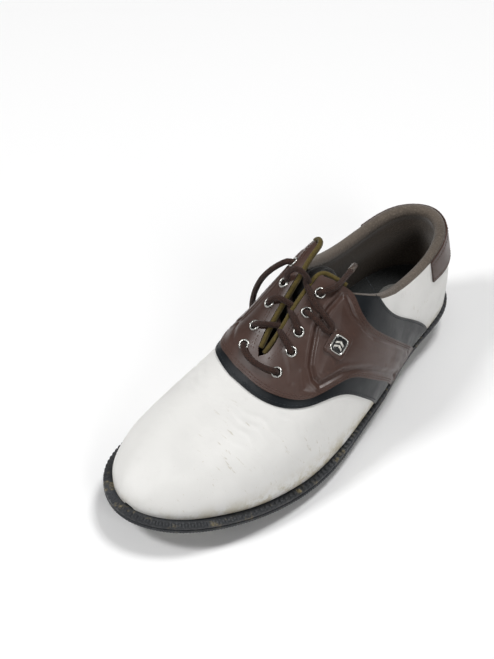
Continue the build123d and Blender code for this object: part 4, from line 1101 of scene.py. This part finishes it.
# ---------------------------------------------------------------- laces
ROUTES = {
    "outer": [(1.0, -39.6, 4.4), (9, -39.3, 4.5), (16, -36.2, 4.8), (16, -36.2, -4.6), (-12.9, -22.5, -4.6),
              (-12.9, -22.5, 4.8), (-5.8, -19.8, 5.2), (0, -17, 3.0), (5.4, -14.4, -4.2),
              (13.2, -12.5, -4.6), (13.2, -12.5, 4.8), (5.6, -8.8, 5.0), (-0.8, -6.2, -1.8),
              (-6.6, -1.6, -4.6), (-11.2, 3.2, -4.6), "free", (-11.0, 2.2, 110.5), (-5.5, 4.2, 117.4),
              (0.2, 6.3, 115.7), (2.4, 8.6, 108.5), "laid", (3.2, 9.6, -3.6), (10.6, 10, -4.6),
              (10.6, 10, 4.8), "free", (18.4, 15.4, 107.2), (16.8, 25.2, 107), (12.4, 36.9, 103.4)],
    "inner": [(1.0, -39.6, 4.4), (-6.5, -38.6, 4.5), (-11.8, -34, 4.8), (-11.8, -34, -4.6),
              (2.0, -29.4, -9.0), (16.1, -22.8, -4.6), (16.1, -22.8, 4.8), (6.2, -19.6, 5.2),
              (0.4, -17.4, -2.0), (-6.4, -13.4, -4.6), (-12.5, -9, -4.6), (-12.5, -9, 4.8),
              (-7.4, -5.0, 6.4), (-1, -4.6, 3.6), (5.2, -3.6, -4.2), (10.6, -2.3, -4.6), (10.6, -2.3, 4.6),
              (19.4, -1.2, 4.4), (26.0, -1.8, 4.6), (26.2, 3.0, 4.6), (19.6, 3.1, 4.4), (12.0, 3.2, 4.8),
              (4.0, 7.0, 4.4), (-1.0, 9.4, -1.6), (-7.0, 12.4, -4.8), (-14.5, 16.5, -4.6),
              (-14.5, 16.5, 5.0), "free", (-26.5, 11, 102.5), (-35, 9.6, 91), (-41, 9.6, 79),
              (-45.5, 10.6, 66), (-48.5, 12.5, 53), (-49.5, 13.6, 44)],
}
AGLETS = {"outer": (8.1, 47.4, 99.6), "inner": (-50.3, 14.9, 32.2)}


def route_points(steps):
    """A route's points in space: laid ones are (x, y, height over the upper), free ones plain."""
    laid, points = True, []
    for step in steps:
        if isinstance(step, str):
            laid = step == "laid"
        else:
            points.append(np.asarray(on_top(*step) if laid else step, float))
    return points


def make_laces():
    """Two round woven lace halves from the bar over the lowest eyelets, each with its tip."""
    finish = material(braid, "lace_weave", colours().lace)
    tip = Finish("aglet_plastic", srgb(52, 40, 33), 0.35, coat=0.3)
    tip.patches(srgb(92, 75, 60), 600, 4, 0.45, 0.7)
    tip.relief(900, 3, 0.00006, 0.6)
    for side, steps in ROUTES.items():
        points = [(p + CENTRING) / MM for p in route_points(steps)]
        curve = bpy.data.curves.new(f"lace_{side}_cord", "CURVE")
        curve.dimensions = "3D"
        curve.bevel_depth, curve.bevel_resolution, curve.resolution_u = sizes().lace_radius, 6, 12
        curve.use_fill_caps = True
        line = curve.splines.new("NURBS")
        line.points.add(len(points) - 1)
        for knot, point in zip(line.points, points):
            knot.co = (*point, 1)
        line.order_u = 3
        line.use_endpoint_u = True
        line.use_smooth = True
        curve.materials.append(finish)
        lace = bpy.data.objects.new(f"lace_{side}_cord", curve)
        bpy.context.scene.collection.objects.link(lace)
        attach(lace, "shoe")
        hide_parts(f"lace_{side}")
        start = np.asarray(route_points(steps)[-1])
        way = np.array(AGLETS[side]) - start
        path = start + np.linspace(-0.02, 1, 14)[:, None] * way
        width = np.array([1.95, 2.15, 2.2, 2.12, 2.2, 2.12, 2.18, 2.15, 2.15, 2.12, 2.1, 2.05, 1.8, 1.1])
        around = round_turn(24)
        section = width[:, None, None] * np.stack([np.cos(around), np.sin(around)], -1)
        sleeve = swept(f"aglet_{side}_sleeve", path, np.broadcast_to([0.3, 0.2, 1.0], path.shape), section,
                       tip.material, replaces=[f"aglet_{side}"])


# ---------------------------------------------------------------- sole
def ring_solid(name, radial, lift, finish, extra, replaces=(), around=2600):
    """Closed moulding round the plan outline, a section of offsets and heights over the feather per place.

    radial gives the offsets over y and lift the heights; extra adds to both from the place in pitches.
    """
    u = np.linspace(0, 1, 6000, endpoint=False)
    spots = outline(u)
    steps = np.diff(np.vstack([spots, spots[:1]]), axis=0)
    length = np.concatenate([[0], np.cumsum(np.linalg.norm(steps, axis=1))])
    place = np.linspace(0, length[-1], around, endpoint=False)
    u = np.interp(place, length, np.append(u, 1.0))
    spots = outline(u)
    tangent = unit(outline(u + 1e-3) - outline(u - 1e-3))
    normal = np.stack([tangent[:, 1], -tangent[:, 0]], -1)
    if (normal * (spots - spots.mean(0))).sum() < 0:
        normal = -normal
    y = spots[:, 1]
    add_out, add_up = extra(place * round(length[-1] / extra.pitch) / length[-1])
    plan = spots[:, None] + normal[:, None] * (radial(y) + add_out)[..., None]
    points = np.concatenate([plan, (feather_height(y)[:, None] + (lift + add_up))[..., None]], -1)
    rows, columns = points.shape[:2]
    faces = grid_faces(rows + 1, columns, wrap=True) % (rows * columns)
    flat = points.reshape(-1, 3)
    make_mesh(name, flat, outward(flat, faces.tolist()), finish, replaces=replaces)


WELT_INSET = -7.0
WELT_OUT = np.array([-99, -6, -4.0, -3.3, -3.0, -2.6, -2.0, -1.4, -1.0, -0.6, -0.2, 0.0, 0.0, -0.25, -1.2,
                     -99])
WELT_UP = np.array([0.1, 0.1, 0.1, 0.05, -0.05, -0.05, 0.0, 0.0, -0.05, -0.15, -0.35, -0.8, -1.9, -2.35,
                    -2.6, -2.6])
WELT_BEAD = np.array([0, 0, 0, 0.1, 0.75, 1.0, 1.0, 1.0, 0.95, 0.8, 0.55, 0.25, 0.0, 0, 0, 0])


def make_welt():
    """Welt with a row of moulded beads along its top edge."""
    finish = material(rubber, "welt_rubber", shade(colours().sole, 0.8), 0.5, dust=(0.30, 0.24, 0.12),
                      amount=0.75)
    height = sizes().bead_height * MM

    def radial(y):
        grow = welt_width(y)[:, None]
        return np.where(WELT_OUT < -50, WELT_INSET, np.maximum(grow + WELT_OUT, WELT_INSET + 0.4))

    def beads(place):
        pulse = np.clip(0.5 + 0.85 * np.cos(2 * math.pi * place), 0, 1) ** 0.8
        relief = pulse[:, None] * WELT_BEAD * height
        return 0.25 * pulse[:, None] * WELT_BEAD * (WELT_OUT > -1.2), relief

    beads.pitch = sizes().bead_pitch * MM
    ring_solid("welt_beaded", radial, WELT_UP, finish, beads, ["welt"])


WALL_OUT = np.array([-3.0, 0.05, 0.35, 0.45, 0.35, 0.1, -3.0])
WALL_UP = np.array([-3.0, -2.9, -3.1, -4.0, -4.9, -5.15, -5.1])
WALL_RIB = np.array([0, 0, 1, 1, 1, 0, 0])


def make_sole():
    """Ribbed rubber sidewall strip, tread bars underneath, and finishes for the moulded sole parts."""
    finish = material(rubber, "sole_rubber", colours().sole, 0.62, amount=0.6)

    def ribs(place):
        return 0.12 * np.cos(2 * math.pi * place)[:, None] * WALL_RIB, 0.0

    ribs.pitch = 1.8
    ring_solid("sidewall_strip", lambda y: outsole_grow(y)[:, None] + WALL_OUT, WALL_UP, finish, ribs)
    runs = []
    for y in np.arange(-126, 132, 7.5):
        left = float(outline(side_u(y, False))[0]) + 6
        right = float(outline(side_u(y, True))[0]) - 6
        for x in np.arange(left, right - 6, 9.0):
            clear = all(math.hypot(x + 3 - a, y - b) > CLEAT_CLEARANCE for a, b in CLEATS)
            if clear and not 52 < y < 66:
                low = HEEL_BOTTOM if y > HEEL_BREAST else float(feather_height(y)) - SOLE_DROP
                slope = 0.0 if y > HEEL_BREAST else float(feather_height(y + 1) - feather_height(y - 1)) / 2
                line = np.array([(x, y, low), (x + 3, y + 1.6, low + 1.6 * slope), (x + 6, y, low)])
                runs.append((line, np.broadcast_to([0.0, 0.0, -1.0], line.shape)))
    stitches("tread_bars", runs, finish, pitch=20, length=6.0, radius=1.3)
    plastic = material(rubber, "cleat_plastic", srgb(60, 62, 64), 0.5, amount=0.7)
    for name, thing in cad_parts.items():
        if name.startswith("cleat_") or name == "outsole":
            give(thing, finish if name == "outsole" else plastic)
            round_edges(thing, 0.4, 40)
            thing.data.shade_smooth()


def footbed_wave(spots):
    """Slight unevenness of the footbed's top, in millimetres."""
    return 0.25 * np.sin(spots[..., 0] / 7) * np.sin(spots[..., 1] / 12)


def make_footbed():
    """Cupped footbed under knitted top cloth, with a plain light disc pressed at the heel."""
    count, rings = 260, 46
    u = np.linspace(0, 1, count, endpoint=False)
    foot = outline(u)
    y_mid = np.clip(foot[:, 1], -128, 118)
    middle = np.stack([ridge_side(y_mid) * 0.4, y_mid], -1)
    share = np.linspace(0, 1, rings)[:, None]
    width = np.linalg.norm(foot - middle, axis=1)
    edge = middle + (foot - middle) * ((width - 5.0) / width)[:, None]
    spots = middle + (edge - middle) * share[..., None]
    cup = 3.2 * share**5 * smooth_step(spots[..., 1], -60, 40) + 0.8 * share**6
    wave = footbed_wave(spots)
    top = np.concatenate([spots, (feather_height(spots[..., 1]) + 6.2 + cup + wave)[..., None]], -1)
    low = top.copy()
    low[..., 2] = feather_height(spots[..., 1]) + 2.2
    wrap = [np.concatenate([g, g[:, :1]], axis=1) for g in (top, low)]
    finish = material(cloth, "footbed_cloth", colours().insole, pitch=1200.0, roughness=0.85)
    shell("footbed_top", [(wrap[0], wrap[1], None)], finish, replaces=["footbed"], edge=0)
    turn = np.linspace(0, 2 * math.pi, 90)
    rings = []
    for radius, rise in ((0.0, 0.22), (3, 0.24), (6, 0.24), (8.4, 0.24), (8.7, 0.14), (9.4, 0.14),
                         (9.7, 0.24), (12.4, 0.24), (12.9, 0.16), (13.1, 0.0)):
        spot = np.stack([np.cos(turn), np.sin(turn)], -1) * radius + DISC_CENTRE
        wave = footbed_wave(spot)
        high = feather_height(spot[:, 1]) + 6.25 + rise + wave
        rings.append(np.concatenate([spot, high[:, None]], -1))
    top = np.stack(rings)
    pale = material(cloth, "heel_disc_cloth", srgb(120, 120, 116), pitch=1500.0, depth=0.0001)
    shell("heel_disc", [(top, top - [0, 0, 0.4], None)], pale, replaces=["footbed_mark"], edge=0)


def finish_inner_parts():
    """Procedural finishes for the moulded parts that stay as they are in the frame."""
    board = material(cloth, "board_fibre", srgb(120, 104, 82), pitch=700.0, sheen=0.0)
    foam = material(rubber, "midsole_foam", srgb(190, 188, 180), 0.8, amount=0.2)
    steel = material(metal, "shank_steel", srgb(150, 152, 155), 0.35)
    wanted = {"insole_board": board, "midsole": foam, "shank": steel}
    hidden = dark_cloth()
    for name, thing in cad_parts.items():
        if thing.hide_render or name in wanted:
            give(thing, wanted.get(name, hidden))


# ---------------------------------------------------------------- stage
AZIMUTH, ELEVATION, ROLL = 42.34, 42.65, -0.70
DISTANCE, TARGET, LENS = 1142.6, (-33.27, -8.62, 60.03), 130.9


def make_stage():
    """Pale floor, soft lights and the camera."""
    scene = bpy.context.scene
    azimuth, elevation, roll = (math.radians(v) for v in (AZIMUTH, ELEVATION, ROLL))
    back = Vector((math.sin(azimuth) * math.cos(elevation), -math.cos(azimuth) * math.cos(elevation),
                   math.sin(elevation)))
    right = Vector((math.cos(azimuth), math.sin(azimuth), 0))
    up = back.cross(right)
    x_axis = right * math.cos(roll) + up * math.sin(roll)
    y_axis = up * math.cos(roll) - right * math.sin(roll)
    turn = Matrix((x_axis, y_axis, back)).transposed().to_4x4()
    place = (Vector(TARGET) + back * DISTANCE) / MM
    camera = bpy.data.cameras.new("camera")
    camera.sensor_fit, camera.sensor_width, camera.lens = "HORIZONTAL", 36, LENS
    camera.clip_start, camera.clip_end = 0.05, 20
    holder = bpy.data.objects.new("camera", camera)
    holder.matrix_world = Matrix.Translation(place) @ turn
    scene.collection.objects.link(holder)
    scene.camera = holder
    floor = bpy.data.meshes.new("floor")
    reach = np.linspace(-3, 3, 7)
    x, y = np.meshgrid(reach, reach)
    points = np.stack([x, y, np.zeros_like(x) - 0.0002], -1).reshape(-1, 3)
    floor.from_pydata(points.tolist(), [], grid_faces(7, 7).tolist())
    cover = Finish("floor_paper", (0.95, 0.95, 0.95), 0.9, specular=0.1)
    cover.relief(60, 4, 0.0002, 0.2)
    floor.materials.append(cover.material)
    floor_thing = bpy.data.objects.new("floor", floor)
    scene.collection.objects.link(floor_thing)
    for name, spot, size, power in (("key", (-0.9, -1.3, 1.9), 0.6, 27), ("fill", (1.7, -0.7, 1.2), 0.8, 10),
                                    ("top", (0.2, 0.7, 2.1), 0.7, 25)):
        data = bpy.data.lights.new(name, "AREA")
        data.shape, data.size, data.energy = "DISK", size, power
        lamp = bpy.data.objects.new(name, data)
        lamp.location = spot
        lamp.rotation_euler = (Vector((0, 0, 0.05)) - Vector(spot)).to_track_quat("-Z", "Y").to_euler()
        scene.collection.objects.link(lamp)
    world = bpy.data.worlds.new("studio")
    world.use_nodes = True
    world.node_tree.nodes["Background"].inputs["Color"].default_value = (1, 1, 1, 1)
    world.node_tree.nodes["Background"].inputs["Strength"].default_value = 0.17
    scene.world = world
    scene.view_settings.view_transform = "Standard"


# ---------------------------------------------------------------- add-on
def operator(action):
    """Operator class that runs one build function, named and described after it."""
    suffix = action.__name__.split("_", 1)[1]

    def execute(self, context):
        action()
        return {"FINISHED"}

    return type(f"SHOE_OT_{suffix}", (bpy.types.Operator,), {
        "bl_idname": f"shoe.{suffix}", "bl_label": suffix.replace("_", " ").capitalize(),
        "__doc__": action.__doc__, "bl_options": {"REGISTER", "UNDO"}, "execute": execute})


STEPS = [make_stage, make_laces, make_vamp, make_quarter, make_trims, make_saddle, make_heel_tab,
         make_lining, make_collar, make_tongue, make_bindings, make_eyelets, make_badge, make_stitching,
         make_welt, make_sole, make_footbed, finish_inner_parts]
OPERATORS = [operator(action) for action in STEPS]


class SHOE_PT_panel(bpy.types.Panel):
    """Buttons for every piece, and the colours and sizes."""

    bl_label = "Golf shoe"
    bl_idname = "SHOE_PT_panel"
    bl_space_type = "VIEW_3D"
    bl_region_type = "UI"
    bl_category = "Shoe"

    def draw(self, context):
        for group in (context.scene.shoe_colours, context.scene.shoe_sizes):
            for name in group.__annotations__:
                self.layout.prop(group, name)
        for kind in OPERATORS:
            self.layout.operator(kind.bl_idname)


CLASSES = [ShoeColours, ShoeSizes, *OPERATORS, SHOE_PT_panel]


def register():
    for kind in CLASSES:
        bpy.utils.register_class(kind)
    bpy.types.Scene.shoe_colours = PointerProperty(type=ShoeColours)
    bpy.types.Scene.shoe_sizes = PointerProperty(type=ShoeSizes)


def unregister():
    del bpy.types.Scene.shoe_sizes
    del bpy.types.Scene.shoe_colours
    for kind in reversed(CLASSES):
        bpy.utils.unregister_class(kind)


def main():
    register()
    for kind in OPERATORS:
        getattr(bpy.ops.shoe, kind.bl_idname.split(".")[1])()


if __name__ == "__main__":
    main()
